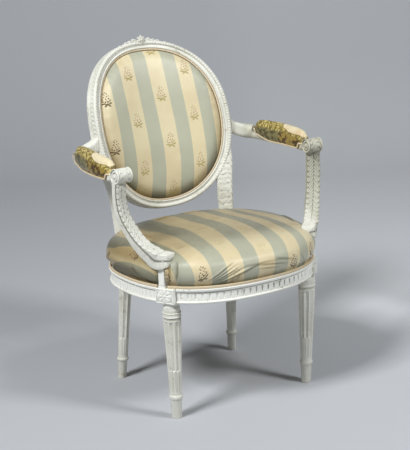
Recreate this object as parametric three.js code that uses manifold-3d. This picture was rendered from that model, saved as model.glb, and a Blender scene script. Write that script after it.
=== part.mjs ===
// A painted medallion-back armchair: fluted legs, a bowed seat frame, swept arm supports with
// scrolled arms, and a striped silk seat, back and arm pads. Millimetres, Z up.
// X runs across the chair, Y runs to the back. Each sub-part is drawn for the +X side and mirrored.

import * as THREE from "three";
import { mergeVertices } from "three/addons/utils/BufferGeometryUtils.js";
import Module from "manifold-3d";

const wasm = await Module();
wasm.setup();

// Fits shared by all joints
const clearance = 0.3;
const cutOverrun = 5;
const facetSlack = 1;

// Seat frame, seen from above: an oval of unequal front and back reach
const seatHalfWidth = 258;
const seatFrontReach = 244;
const seatBackReach = 212;
const seatCentreY = 33;
const seatOvalPower = 2.42;
const railBottom = 307;
const railHeight = 38;
const railThickness = 28;
const railTop = railBottom + railHeight;
const topMouldProud = 4;
const topMouldHeight = 10;
const bottomMouldProud = 2;
const bottomMouldHeight = 7;
const friezeSink = 1.5;
const lipWidth = 15;
const tackRabbetDepth = 8;

// Legs
const frontBlockSize = 50;
const frontBlockShift = 4;
const rearBlockSize = 42;
const frontLegAngle = THREE.MathUtils.degToRad(54.4);
const rearLegAngle = THREE.MathUtils.degToRad(135);
const frontLegInset = 15.5;
const rearLegInset = 16.5;
const frontBlockTurn = THREE.MathUtils.degToRad(60);
const frontLegTurning = {
  neckRadius: 21, torusRadius: 23.5, torusHeight: 12, coveRadius: 19, coveHeight: 14,
  collarRadius: 25, collarHeight: 12, grooveRadius: 20, grooveHeight: 7,
  shaftTopRadius: 22.4, shaftEndRadius: 15, ankleZ: 66, ankleRingRadius: 17.4, ankleRingHeight: 16,
  footTopRadius: 14.6, footRadius: 12.4, flutes: 10, fluteDepth: 2.6, flutedFillTop: 128,
};
const rearLegTurning = {
  neckRadius: 16.5, torusRadius: 18, torusHeight: 8, coveRadius: 15.5, coveHeight: 8,
  collarRadius: 19, collarHeight: 8, grooveRadius: 16, grooveHeight: 5,
  shaftTopRadius: 18, shaftEndRadius: 12.8, ankleZ: 62, ankleRingRadius: 16, ankleRingHeight: 12,
  footTopRadius: 12.6, footRadius: 11.4, flutes: 8, fluteDepth: 2.3, flutedFillTop: 116,
};
const frontFootShift = new THREE.Vector2(-5, 5);
const rearFootShift = new THREE.Vector2(14, 28);
const turningSides = 14;
const rosetteRadius = 17;
const rosetteHeight = 3;

// Medallion back: an oval board bent to a hollow curve and leaned back
const backHalfWidth = 184;
const backHalfHeight = 208;
const backOvalPower = 2.25;
const backCentreY = 284.4;
const backCentreRise = 324.3;
const backCentreZ = railTop + backCentreRise;
const backLean = THREE.MathUtils.degToRad(15.8);
const backHollowRadius = 383;
const backWoodFace = 20;
const backWoodDepth = 28;
const backLedgeWidth = 12;
const backFrontRabbet = 9;
const backRearRabbet = 5;
const backRearRabbetWidth = 8;
const backBeadProud = 2.5;
const sideLowAngle = THREE.MathUtils.degToRad(-50);
const sideHighAngle = THREE.MathUtils.degToRad(42);
const crestFlowerRadius = 13;
const crestFlowerRise = 7;
const crestLeafLength = 15;
const crestLeafWidth = 6.5;
const crestReach = 36;

// Rear stiles, from the rear blocks up into the medallion's sides
const stileWidth = 40;
const stileDepth = 30;
const stileTopAngle = THREE.MathUtils.degToRad(-12);
const stileJoinAngle = THREE.MathUtils.degToRad(-27);

// Arms
const armRootAngle = THREE.MathUtils.degToRad(-6.5);
const armRootHalfWidth = 13;
const armWoodHalfWidth = 15;
const armWoodHeight = 23;
const armRootHeight = 45;
const padSeatDrop = 22;
const voluteOverhang = 26;
const voluteX = seatHalfWidth + voluteOverhang;
const voluteY = -40;
const voluteRise = 275;
const voluteZ = railTop + voluteRise;
const voluteRadius = 18.5;
const voluteHalfWidth = 23;
const voluteEye = 6;
const voluteDish = 2.5;

// Arm supports, a bent board that stands on a neck
const neckSize = 21;
const neckRadialPlace = 10;
const neckTangentPlace = 8;
const supportWidth = 36;
const supportDepth = 16;
const supportTurn = THREE.MathUtils.degToRad(22);
const supportToeReach = 19;
const supportToeRise = 72;
const supportToeZ = railTop + supportToeRise;
const supportHeelRise = 63;
const supportHeelZ = railTop + supportHeelRise;
const neckFootFlare = 1.12;
const neckHeadFlare = 1.35;
const neckDepthShare = 0.85;

// Joints
const tenonLength = 18;
const tenonThickness = 10;
const tenonHeight = 24;
const backTenonLength = 16;
const armTenonLength = 15;
const footDowelDepth = 9;
const pegStop = 6;
const dowelRadius = 6;
const pegRadius = 3;
const pegSides = 6;
const dowelSides = 8;
const braceReach = THREE.MathUtils.degToRad(17);
const braceHeight = 22;

// Seat upholstery
const seatCrown = 94;
const coverThickness = 2.4;
const gimpWidth = 5;
const gimpHeight = 8;
const webWidth = 50;
const webThickness = 1.6;
const webPitchAcross = 70;
const webPostGap = 1;
const webCount = 4;
const hessianThickness = 1.2;
const postRelief = 1.2;

// Back upholstery
const backCrown = 20;
const outsideCrown = 3;
const backGimpRise = 2;

// Arm pads
const padRearHeight = 36.5;
const padFrontHeight = 31;
const padHalfWidth = 22;
const padSkirtRise = 4;
const padGimpWidth = 2.5;
const padGimpHeight = 5;
const padStartShare = 0.27;
const padEndShare = 0.905;

const materials = {
  paint: new THREE.MeshStandardMaterial({ color: 0xdcdcd2, roughness: 0.55, metalness: 0 }),
  beech: new THREE.MeshStandardMaterial({ color: 0xb98f5e, roughness: 0.7, metalness: 0 }),
  silk: new THREE.MeshStandardMaterial({ color: 0xcfc49a, roughness: 0.45, metalness: 0 }),
  brocade: new THREE.MeshStandardMaterial({ color: 0x8f8248, roughness: 0.5, metalness: 0 }),
  gimp: new THREE.MeshStandardMaterial({ color: 0xcdb893, roughness: 0.7, metalness: 0 }),
  horsehair: new THREE.MeshStandardMaterial({ color: 0x3a2f28, roughness: 0.95, metalness: 0 }),
  hessian: new THREE.MeshStandardMaterial({ color: 0xa88d63, roughness: 0.9, metalness: 0 }),
  webbing: new THREE.MeshStandardMaterial({ color: 0xb5a98c, roughness: 0.85, metalness: 0 }),
};

// Shapes as solids

function solidOf(geometry) {
  const bare = geometry.index ? geometry.toNonIndexed() : geometry.clone();
  bare.deleteAttribute("normal");
  bare.deleteAttribute("uv");
  const merged = mergeVertices(bare);
  const vertProperties = merged.attributes.position.array;
  const triVerts = new Uint32Array(merged.index.array);
  return new wasm.Manifold(new wasm.Mesh({ numProp: 3, vertProperties, triVerts }));
}

function geometryOf(solid) {
  const mesh = solid.getMesh();
  const geometry = new THREE.BufferGeometry();
  geometry.setAttribute("position", new THREE.BufferAttribute(mesh.vertProperties, 3));
  geometry.setIndex(new THREE.BufferAttribute(mesh.triVerts, 1));
  geometry.computeVertexNormals();
  return geometry;
}

function signedVolume(position, index) {
  const [a, b, c] = [new THREE.Vector3(), new THREE.Vector3(), new THREE.Vector3()];
  let total = 0;
  for (let i = 0; i < index.length; i += 3) {
    a.fromArray(position, 3 * index[i]);
    b.fromArray(position, 3 * index[i + 1]);
    c.fromArray(position, 3 * index[i + 2]);
    total += a.dot(b.cross(c));
  }
  return total;
}

// A closed skin over rings that have equally many points. The outline, in the plane of the first
// ring, says how the two open ends are filled. A closed run joins its last ring to its first.
function skin(rings, outline, closed = false) {
  const count = rings[0].length;
  const position = rings.flat().flatMap((point) => point.toArray());
  const index = [];
  const spans = closed ? rings.length : rings.length - 1;
  for (let i = 0; i < spans; i++) {
    const next = (i + 1) % rings.length;
    for (let j = 0; j < count; j++) {
      const k = (j + 1) % count;
      index.push(i * count + j, i * count + k, next * count + k);
      index.push(i * count + j, next * count + k, next * count + j);
    }
  }
  if (!closed) {
    const last = (rings.length - 1) * count;
    const clockwise = THREE.ShapeUtils.isClockWise(outline);
    for (const face of THREE.ShapeUtils.triangulateShape(outline, [])) {
      const [a, b, c] = clockwise ? face.reverse() : face;
      index.push(a, c, b, last + a, last + b, last + c);
    }
  }
  if (signedVolume(position, index) < 0) index.reverse();
  const geometry = new THREE.BufferGeometry();
  geometry.setAttribute("position", new THREE.Float32BufferAttribute(position, 3));
  geometry.setIndex(index);
  return solidOf(geometry);
}

// The outline carried through frames, each with an origin and the directions of its two axes.
function sweep(outlineAt, frames, closed = false) {
  const rings = frames.map((frame, i) =>
    outlineAt(i / (frames.length - 1)).map((point) =>
      frame.origin.clone().addScaledVector(frame.across, point.x).addScaledVector(frame.up, point.y)));
  return skin(rings, outlineAt(0), closed);
}

function turned(profile, sides = turningSides) {
  return solidOf(new THREE.LatheGeometry(profile, sides).rotateX(Math.PI / 2));
}

function box(sizeX, sizeY, sizeZ, place, turn = 0) {
  const geometry = new THREE.BoxGeometry(sizeX, sizeY, sizeZ).rotateZ(turn);
  return solidOf(geometry.translate(place.x, place.y, place.z));
}

function rod(radius, from, to, sides = turningSides) {
  const along = to.clone().sub(from);
  const geometry = new THREE.CylinderGeometry(radius, radius, along.length(), sides);
  const turn = new THREE.Quaternion().setFromUnitVectors(new THREE.Vector3(0, 1, 0), along.clone().normalize());
  geometry.applyQuaternion(turn);
  const middle = from.clone().lerp(to, 0.5);
  return solidOf(geometry.translate(middle.x, middle.y, middle.z));
}

function rectangle(width, height, edge = 0) {
  const [x, y] = [width / 2, height / 2];
  const corners = [[x, y, 1, 1], [-x, y, -1, 1], [-x, -y, -1, -1], [x, -y, 1, -1]];
  if (edge === 0) return corners.map(([cx, cy]) => new THREE.Vector2(cx, cy));
  return corners.flatMap(([cx, cy, sx, sy]) => {
    const flat = new THREE.Vector2(cx - sx * edge, cy);
    const steep = new THREE.Vector2(cx, cy - sy * edge);
    return sx * sy > 0 ? [steep, flat] : [flat, steep];
  });
}

function roundAngles(count) {
  return Array.from({ length: count }, (_, i) => (i + 0.5) * 2 * Math.PI / count);
}

// The largest body of a solid, without the offcuts that a cut leaves.
function mainBody(solid) {
  return solid.decompose().reduce((best, body) => (body.volume() > best.volume() ? body : best));
}

function mix(a, b, share) {
  return a + (b - a) * share;
}

// Value of a table of [share, value] rows at a share, in straight steps.
function tableAt(rows, share) {
  const next = Math.max(1, rows.findIndex((row) => row[0] >= share));
  const [low, high] = [rows[next - 1], rows[next]];
  return mix(low[1], high[1], THREE.MathUtils.clamp((share - low[0]) / (high[0] - low[0]), 0, 1));
}

// Seat oval. The angle is measured at the seat's centre from the front towards +X.

function seatRadius(angle, inset = 0) {
  const reach = Math.cos(angle) > 0 ? seatFrontReach : seatBackReach;
  const acrossTerm = Math.abs(Math.sin(angle) / (seatHalfWidth - inset)) ** seatOvalPower;
  const alongTerm = Math.abs(Math.cos(angle) / (reach - inset)) ** seatOvalPower;
  return (acrossTerm + alongTerm) ** (-1 / seatOvalPower);
}

function seatPoint(angle, inset = 0, share = 1) {
  const radius = seatRadius(angle, inset) * share;
  return new THREE.Vector2(radius * Math.sin(angle), seatCentreY - radius * Math.cos(angle));
}

// Direction that points squarely out of the seat oval.
function seatOutward(angle) {
  const reach = Math.cos(angle) > 0 ? seatFrontReach : seatBackReach;
  const point = seatPoint(angle);
  const y = point.y - seatCentreY;
  const outX = Math.sign(point.x) * Math.abs(point.x / seatHalfWidth) ** (seatOvalPower - 1) / seatHalfWidth;
  const outY = Math.sign(y) * Math.abs(y / reach) ** (seatOvalPower - 1) / reach;
  return new THREE.Vector2(outX, outY).normalize();
}

function seatFrames(fromAngle, toAngle, steps) {
  return Array.from({ length: steps + 1 }, (_, i) => {
    const angle = mix(fromAngle, toAngle, i / steps);
    const point = seatPoint(angle);
    const out = seatOutward(angle);
    return {
      origin: new THREE.Vector3(point.x, point.y, 0),
      across: new THREE.Vector3(out.x, out.y, 0),
      up: new THREE.Vector3(0, 0, 1),
    };
  });
}

// How far the seat oval, drawn in by an inset, reaches to the front or back at a place across it.
function seatReachAt(x, inset, reach) {
  const share = Math.abs(x) / (seatHalfWidth - inset);
  return (reach - inset) * (1 - share ** seatOvalPower) ** (1 / seatOvalPower);
}

function seatHalfWidthAt(y, inset) {
  const reach = y < seatCentreY ? seatFrontReach : seatBackReach;
  const share = Math.abs(y - seatCentreY) / (reach - inset);
  return (seatHalfWidth - inset) * (1 - share ** seatOvalPower) ** (1 / seatOvalPower);
}

// A leg's post in the seat frame: its axis, the middle of its block and the block's directions.
function legPost(angle, inset, blockTurn, size, blockShift) {
  const rim = seatPoint(angle);
  const outward = seatOutward(angle);
  const axis = new THREE.Vector3(rim.x - outward.x * inset, rim.y - outward.y * inset, 0);
  const out = new THREE.Vector3(Math.sin(blockTurn), -Math.cos(blockTurn), 0);
  const along = new THREE.Vector3(Math.cos(blockTurn), Math.sin(blockTurn), 0);
  const centre = axis.clone().addScaledVector(along, blockShift);
  return { axis, centre, out, along, size, turn: blockTurn };
}

const rearOut = seatOutward(rearLegAngle);
const rearBlockTurn = Math.atan2(rearOut.x, -rearOut.y);
const frontPost = legPost(frontLegAngle, frontLegInset, frontBlockTurn, frontBlockSize, frontBlockShift);
const rearPost = legPost(rearLegAngle, rearLegInset, rearBlockTurn, rearBlockSize, 0);

function postBlock(post, grow = 0) {
  const place = post.centre.clone().setZ(railBottom + railHeight / 2);
  const size = post.size + 2 * grow;
  return box(size, size, railHeight + 2 * grow, place, post.turn);
}

// Legs

// Radius of the turned leg above and below the fluted shaft, from the block down.
function collarProfile(t) {
  const torusEnd = railBottom - t.torusHeight;
  const coveEnd = torusEnd - t.coveHeight;
  const collarEnd = coveEnd - t.collarHeight;
  const grooveEnd = collarEnd - t.grooveHeight;
  const top = railBottom + t.torusHeight;
  return [
    [0, grooveEnd - t.grooveHeight], [t.grooveRadius, grooveEnd - t.grooveHeight],
    [t.grooveRadius, collarEnd], [t.collarRadius, mix(collarEnd, coveEnd, 0.15)],
    [t.collarRadius, mix(collarEnd, coveEnd, 0.65)], [t.coveRadius, coveEnd],
    [t.coveRadius, mix(coveEnd, torusEnd, 0.5)], [t.torusRadius, mix(torusEnd, railBottom, 0.2)],
    [t.torusRadius, mix(torusEnd, railBottom, 0.7)], [t.neckRadius, railBottom], [t.neckRadius, top], [0, top],
  ].map(([radius, z]) => new THREE.Vector2(radius, z));
}

function footProfile(t) {
  const ringTop = t.ankleZ;
  const ringEnd = ringTop - t.ankleRingHeight;
  return [
    [0, 0], [t.footRadius, 0], [t.footTopRadius, ringEnd],
    [t.ankleRingRadius, mix(ringEnd, ringTop, 0.3)], [t.ankleRingRadius, mix(ringEnd, ringTop, 0.65)],
    [t.footTopRadius, ringTop], [t.footTopRadius, ringTop + t.grooveHeight], [0, ringTop + t.grooveHeight],
  ].map(([radius, z]) => new THREE.Vector2(radius, z));
}

// The tapered shaft. A flute has two edges and a floor. In the lower part each flute is filled by
// a rod, so its floor stands nearly level with its edges.
function flutedShaft(t) {
  const top = railBottom - t.torusHeight - t.coveHeight - t.collarHeight - t.grooveHeight;
  const bottom = t.ankleZ;
  const filledShare = 0.3;
  const runOut = 2 * t.fluteDepth;
  const levels = [
    [top, 0], [top - runOut, 1], [t.flutedFillTop + runOut, 1],
    [t.flutedFillTop, filledShare], [bottom + runOut, filledShare], [bottom, 0],
  ];
  const flatShare = 0.14;
  const rings = levels.map(([z, depthShare]) => {
    const radius = mix(t.shaftEndRadius, t.shaftTopRadius, (z - bottom) / (top - bottom));
    const floor = radius - t.fluteDepth * depthShare;
    return Array.from({ length: t.flutes }, (_, i) => i * 2 * Math.PI / t.flutes).flatMap((start) =>
      [[flatShare, radius], [0.5, floor], [1 - flatShare, radius]].map(
        ([share, r]) => {
          const angle = start + share * 2 * Math.PI / t.flutes;
          return new THREE.Vector3(r * Math.cos(angle), r * Math.sin(angle), z);
        }));
  });
  return skin(rings, rings[0].map((point) => new THREE.Vector2(point.x, point.y)));
}

// Slants a solid that stands on the floor, so that its foot moves and its top stays.
function slanted(solid, shift) {
  const geometry = geometryOf(solid);
  const slant = new THREE.Matrix4().set(
    1, 0, -shift.x / railBottom, shift.x,
    0, 1, -shift.y / railBottom, shift.y,
    0, 0, 1, 0,
    0, 0, 0, 1);
  return solidOf(geometry.applyMatrix4(slant));
}

function leg(t, post, footShift) {
  const turnedPart = turned(collarProfile(t)).add(turned(footProfile(t))).add(flutedShaft(t));
  const stood = slanted(turnedPart, footShift).translate([post.axis.x, post.axis.y, 0]);
  return stood.add(postBlock(post));
}

// An eight-petalled rosette on the face of the front block.
function rosette(post) {
  const petals = 8;
  const face = post.centre.clone().addScaledVector(post.out, post.size / 2);
  face.setZ(railBottom + railHeight / 2);
  const notchShare = 0.72;
  const ring = (scale, rise, notch) => Array.from({ length: 2 * petals }, (_, i) => {
    const angle = i * Math.PI / petals;
    const radius = rosetteRadius * scale * (i % 2 ? notch : 1);
    const point = face.clone().addScaledVector(post.along, radius * Math.cos(angle));
    return point.addScaledVector(post.out, rise).add(new THREE.Vector3(0, 0, radius * Math.sin(angle)));
  });
  const rings = [
    ring(1, -rosetteHeight, 1), ring(1, 0, notchShare), ring(0.86, rosetteHeight, notchShare),
    ring(0.36, rosetteHeight * 0.3, 1), ring(0.26, rosetteHeight, 1),
  ];
  const outline = Array.from({ length: 2 * petals }, (_, i) =>
    new THREE.Vector2(Math.cos(i * Math.PI / petals), Math.sin(i * Math.PI / petals)));
  return skin(rings, outline);
}

// A tenon that runs from inside the rail into the block, and its mortise when grown.
function railTenon(post, side, grow = 0) {
  const middle = post.centre.clone().addScaledVector(post.along, side * post.size / 2);
  middle.setZ(railBottom + (railHeight - tackRabbetDepth) / 2);
  const length = 2 * (tenonLength + grow);
  return box(length, tenonThickness + 2 * grow, tenonHeight + 2 * grow, middle, post.turn);
}

// A peg driven through a rail's tenon from the block's inner face, and its hole when grown.
function railPeg(post, side, grow = 0) {
  const middle = post.centre.clone().addScaledVector(post.along, side * (post.size - tenonLength) / 2);
  middle.setZ(railBottom + (railHeight - tackRabbetDepth) / 2);
  const from = middle.clone().addScaledVector(post.out, -post.size / 2 - (grow > 0 ? cutOverrun : 0));
  const to = middle.clone().addScaledVector(post.out, tenonThickness / 2 + pegStop + grow);
  return rod(pegRadius + grow, from, to, pegSides);
}

// Seat rails

// Section of a rail. X is measured out from the seat oval and Y is the height.
function railOutline() {
  const [low, high] = [railBottom, railTop];
  const inner = -railThickness;
  const lipInner = topMouldProud - lipWidth;
  const beadTop = low + bottomMouldHeight;
  const mouldLow = high - topMouldHeight;
  return [
    [inner, low], [bottomMouldProud, low], [bottomMouldProud, low + bottomMouldHeight * 0.7],
    [-friezeSink, beadTop], [-friezeSink, mouldLow], [topMouldProud * 0.5, mouldLow + topMouldHeight * 0.3],
    [topMouldProud, mouldLow + topMouldHeight * 0.6], [topMouldProud, high],
    [lipInner, high], [lipInner, high - tackRabbetDepth], [inner, high - tackRabbetDepth],
  ].map(([x, y]) => new THREE.Vector2(x, y));
}

function rail(fromAngle, toAngle, steps) {
  return sweep(railOutline, seatFrames(fromAngle, toAngle, steps));
}

// A block glued into the corner between two rails, notched round the leg's block.
function cornerBrace(post, angle) {
  const steps = 6;
  const inset = railThickness + clearance;
  const rim = Array.from({ length: steps + 1 }, (_, i) =>
    seatPoint(angle + mix(-braceReach, braceReach, i / steps), inset));
  const chord = rim[0].distanceTo(rim[steps]);
  const inward = seatOutward(angle).multiplyScalar(-chord * 0.28);
  const outline = [...rim, rim[steps].clone().add(inward), rim[0].clone().add(inward)];
  const low = railBottom + clearance;
  const rings = [low, low + braceHeight].map((z) => outline.map((p) => new THREE.Vector3(p.x, p.y, z)));
  return skin(rings, outline).subtract(postBlock(post, clearance));
}

// Medallion back

// A place on the back board: x across, s up the leaning board, depth forward of its face.
function backPoint(x, s, depth) {
  const slope = x / backHollowRadius;
  const norm = Math.hypot(1, slope);
  const acrossX = x - depth * slope / norm;
  const forward = x * x / (2 * backHollowRadius) + depth / norm;
  return new THREE.Vector3(
    acrossX,
    backCentreY + s * Math.sin(backLean) - forward * Math.cos(backLean),
    backCentreZ + s * Math.cos(backLean) + forward * Math.sin(backLean));
}

// A place on the medallion's oval, moved outwards by an offset. The angle starts at +X.
function ovalPoint(angle, offset = 0) {
  const power = 2 / backOvalPower;
  const [c, s] = [Math.cos(angle), Math.sin(angle)];
  const x = backHalfWidth * Math.sign(c) * Math.abs(c) ** power;
  const y = backHalfHeight * Math.sign(s) * Math.abs(s) ** power;
  const outX = Math.sign(x) * Math.abs(x / backHalfWidth) ** (backOvalPower - 1) / backHalfWidth;
  const outY = Math.sign(y) * Math.abs(y / backHalfHeight) ** (backOvalPower - 1) / backHalfHeight;
  return new THREE.Vector2(x, y).addScaledVector(new THREE.Vector2(outX, outY).normalize(), offset);
}

// Section of the medallion's wood: a moulded face between a front rabbet for the padding and a
// rear rabbet for the outside cover. X is measured out from the oval, Y is the depth.
function medallionOutline(grow = 0) {
  const [face, deep] = [backWoodFace, backWoodDepth];
  const beadInner = face * 0.55;
  return [
    [-backLedgeWidth - grow, -backFrontRabbet + grow], [-grow, -backFrontRabbet + grow],
    [-grow, backBeadProud * 0.6 + grow], [face * 0.2, backBeadProud * 0.6 + grow],
    [beadInner, -backBeadProud * 0.5 + grow],
    [beadInner + face * 0.12, backBeadProud + grow], [face * 0.88, backBeadProud + grow],
    [face + grow, -backBeadProud], [face + grow, -deep - grow],
    [-backLedgeWidth + backRearRabbetWidth - grow, -deep - grow],
    [-backLedgeWidth + backRearRabbetWidth - grow, -deep + backRearRabbet - grow],
    [-backLedgeWidth - grow, -deep + backRearRabbet - grow],
  ].map(([x, y]) => new THREE.Vector2(x, y));
}

// The section carried round a stretch of the oval, or all the way round it.
function medallionSweep(outline, fromAngle, toAngle, steps) {
  const angles = Array.from({ length: steps + 1 }, (_, i) => mix(fromAngle, toAngle, i / steps));
  return skin(medallionRings(outline, angles), outline);
}

function medallionLoop(outline) {
  return skin(medallionRings(outline, roundAngles(backAround)), outline, true);
}

function medallionRings(outline, angles) {
  return angles.map((angle) => outline.map((point) => {
    const place = ovalPoint(angle, point.x);
    return backPoint(place.x, place.y, point.y);
  }));
}

// The opening that the padding fills, and part of the face round it.
function medallionOpening() {
  const [edge, far] = [backWoodFace * 0.15, 2 * backWoodDepth];
  const outline = [[-backHalfWidth / 3, far], [edge, far], [edge, -far], [-backHalfWidth / 3, -far]]
    .map(([x, y]) => new THREE.Vector2(x, y));
  return medallionSweep(outline, sideLowAngle * 1.3, 0, 8);
}

const jointGapAngle = clearance / (backHalfWidth + backHalfHeight);

// A tenon across the joint between two of the medallion's pieces, and its mortise when grown.
function medallionTenon(angle, grow = 0) {
  const reach = (backTenonLength + grow) / backHalfHeight;
  const middleX = (backWoodFace - backLedgeWidth) / 2;
  const middleY = -(backFrontRabbet + backWoodDepth - backRearRabbet) / 2;
  const outline = rectangle(2 * tenonThickness + 2 * grow, tenonThickness * 0.7 + 2 * grow)
    .map((point) => point.add(new THREE.Vector2(middleX, middleY)));
  return medallionSweep(outline, angle - reach, angle + reach, 2);
}

// A peg through the medallion's tenon from the back, and its hole when grown.
function medallionPeg(angle, towards, grow = 0) {
  const pegAngle = angle + towards * backTenonLength / 2 / backHalfHeight;
  const place = ovalPoint(pegAngle, (backWoodFace - backLedgeWidth) / 2);
  const from = backPoint(place.x, place.y, -backWoodDepth - (grow > 0 ? cutOverrun : 0));
  const to = backPoint(place.x, place.y, -backFrontRabbet - pegStop / 2 + grow);
  return rod(pegRadius + grow, from, to, pegSides);
}

const mirrored = (solid) => solid.mirror([1, 0, 0]);

// The carved crest: a flower with two leaves on each side, on the top rail's outer edge.
function crest() {
  const top = ovalPoint(Math.PI / 2, backWoodFace);
  const petals = 7;
  const centre = backPoint(0, top.y, -backWoodDepth * 0.3);
  const forward = new THREE.Vector3(0, -Math.cos(backLean), Math.sin(backLean));
  const upward = new THREE.Vector3(0, Math.sin(backLean), Math.cos(backLean));
  const middle = centre.clone().addScaledVector(upward, crestFlowerRise - crestFlowerRadius * 0.3);
  const outline = Array.from({ length: 2 * petals }, (_, i) => {
    const radius = crestFlowerRadius * (i % 2 ? 0.78 : 1);
    const angle = Math.PI / 2 + i * Math.PI / petals;
    return new THREE.Vector2(radius * Math.cos(angle), radius * Math.sin(angle));
  });
  const ring = (scale, depth) => outline.map((point) => middle.clone()
    .addScaledVector(new THREE.Vector3(1, 0, 0), point.x * scale)
    .addScaledVector(upward, point.y * scale)
    .addScaledVector(forward, depth));
  const rise = backWoodDepth * 0.3 + backBeadProud;
  let solid = skin([ring(0.8, -rise), ring(1, 0), ring(0.9, rise), ring(0.35, rise * 0.75)], outline);
  for (const share of [0.45, 1]) {
    for (const side of [-1, 1]) {
      const leaf = new THREE.SphereGeometry(1, 7, 4);
      leaf.scale(crestLeafLength, backWoodDepth * 0.35, crestLeafWidth * mix(1.25, 1, share));
      const angle = Math.PI / 2 - side * share * crestReach / backHalfWidth;
      const place = ovalPoint(angle, backWoodFace + crestLeafWidth * 0.1);
      leaf.rotateX(-backLean);
      const at = backPoint(place.x, place.y, -backWoodDepth * 0.25);
      solid = solid.add(solidOf(leaf.translate(at.x, at.y, at.z)));
    }
  }
  return solid;
}

// Rear stiles

function stileCurve() {
  const base = rearPost.centre.clone().setZ(railTop - tackRabbetDepth);
  const join = ovalPoint(stileJoinAngle, backWoodFace * 0.5);
  const tip = ovalPoint(stileTopAngle, backWoodFace * 0.3);
  const joinAt = backPoint(join.x, join.y, -backWoodDepth / 2);
  const lowShares = new THREE.Vector3(-0.1, 0.28, 0.36);
  const highShares = new THREE.Vector3(0.2, 0.6, 0.72);
  const between = (shares) => joinAt.clone().sub(base).multiply(shares).add(base);
  return new THREE.CatmullRomCurve3([
    base, between(lowShares), between(highShares), joinAt, backPoint(tip.x, tip.y, -backWoodDepth / 2),
  ]);
}

function stile(grow = 0) {
  const steps = 10;
  const curve = stileCurve();
  const frames = Array.from({ length: steps + 1 }, (_, i) => {
    const origin = curve.getPoint(i / steps);
    const turn = mix(Math.PI - rearBlockTurn, Math.atan(origin.x / backHollowRadius), i / steps);
    return {
      origin,
      across: new THREE.Vector3(Math.cos(turn), -Math.sin(turn), 0),
      up: new THREE.Vector3(Math.sin(turn), Math.cos(turn), 0),
    };
  });
  const tipShare = 0.45;
  const widths = [[0, 0.9], [0.3, 1.04], [0.65, 1.12], [1, tipShare]];
  const depths = [[0, 1], [0.65, 0.9], [1, 0.6]];
  return sweep((share) => rectangle(
    stileWidth * tableAt(widths, share) + 2 * grow, stileDepth * tableAt(depths, share) + 2 * grow,
    stileWidth * 0.12), frames);
}

// Arms

// The arm leaves the medallion's side sideways, bends at an elbow and runs forward to the scroll.
// Its path is given as shares of the run from the root to the scroll, across and forward.
const rootPlace = ovalPoint(armRootAngle, backWoodFace * 0.55);
const armRoot = backPoint(rootPlace.x, rootPlace.y, -backWoodDepth * 0.55);
const armSpan = new THREE.Vector3(voluteX, voluteY, voluteZ).sub(armRoot);
const armPathShares = [
  [0, 0], [0.22, 0.002], [0.48, 0.02], [0.72, 0.055], [0.89, 0.14], [0.98, 0.35],
  [1.07, 0.6], [1.05, 0.82], [1, 1],
];
const armPath = new THREE.CatmullRomCurve3(armPathShares.map(([across, ahead]) =>
  new THREE.Vector3(armRoot.x + armSpan.x * across, armRoot.y + armSpan.y * ahead, 0)));
const armLength = armPath.getLength();
const armEndTop = voluteZ + voluteRadius * 0.45;
const padSeatRearZ = armRoot.z - padSeatDrop;
const padSeatFrontZ = armEndTop - voluteRadius * 0.25;

function armFrame(share) {
  const point = armPath.getPointAt(share);
  const ahead = armPath.getTangentAt(share);
  return { point, across: new THREE.Vector3(-ahead.y, ahead.x, 0), ahead };
}

// Height of the bare wood that the pad is built on.
function padSeatZ(share) {
  return mix(padSeatRearZ, padSeatFrontZ, (share - padStartShare) / (padEndShare - padStartShare));
}

// Heights of the arm's upper and lower faces along its length. Rises near the root are shares of
// its height there.
const armRebateShares = [padStartShare - 0.036, padStartShare - 0.024];
const armTopShares = [[0, 0.5], [0.06, 0.14], [0.13, -0.03], [0.18, -0.1], [armRebateShares[0], -0.12]];
const armBottomShares = [[0, -0.5], [0.06, -0.69], [0.13, -0.87], [0.18, -0.97]];

function armTop(share) {
  const root = armTopShares.map(([at, rise]) => [at, armRoot.z + armRootHeight * rise]);
  return tableAt([
    ...root, [armRebateShares[1], padSeatZ(armRebateShares[1])], [padEndShare, padSeatZ(padEndShare)],
    [padEndShare + 0.03, armEndTop], [1, armEndTop],
  ], share);
}

function armBottom(share) {
  const root = armBottomShares.map(([at, rise]) => [at, armRoot.z + armRootHeight * rise]);
  return tableAt([
    ...root, [padStartShare + 0.05, padSeatZ(padStartShare + 0.05) - armWoodHeight],
    [padEndShare - 0.02, padSeatZ(padEndShare) - armWoodHeight],
    [padEndShare + 0.03, armEndTop - armWoodHeight], [1, armEndTop - armWoodHeight],
  ], share);
}

const armStationShares = [
  0, 0.06, 0.13, 0.18, armRebateShares[0], armRebateShares[1], 0.34, 0.46, 0.6, 0.74,
  padEndShare, padEndShare + 0.03, 0.99,
];
const armWidthShares = [[0, armRootHalfWidth / armWoodHalfWidth], [0.3, 1], [padEndShare, 1], [1, 1.3]];

function armBeam(grow = 0) {
  const outlineOf = (share) => rectangle(
    2 * armWoodHalfWidth * tableAt(armWidthShares, share) + 2 * grow,
    armTop(share) - armBottom(share) + 2 * grow, armWoodHeight * 0.2);
  const rings = armStationShares.map((share) => {
    const { point, across } = armFrame(share);
    const middle = (armTop(share) + armBottom(share)) / 2;
    return outlineOf(share).map((p) =>
      point.clone().setZ(middle + p.y).addScaledVector(across, p.x));
  });
  return skin(rings, outlineOf(0));
}

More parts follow.
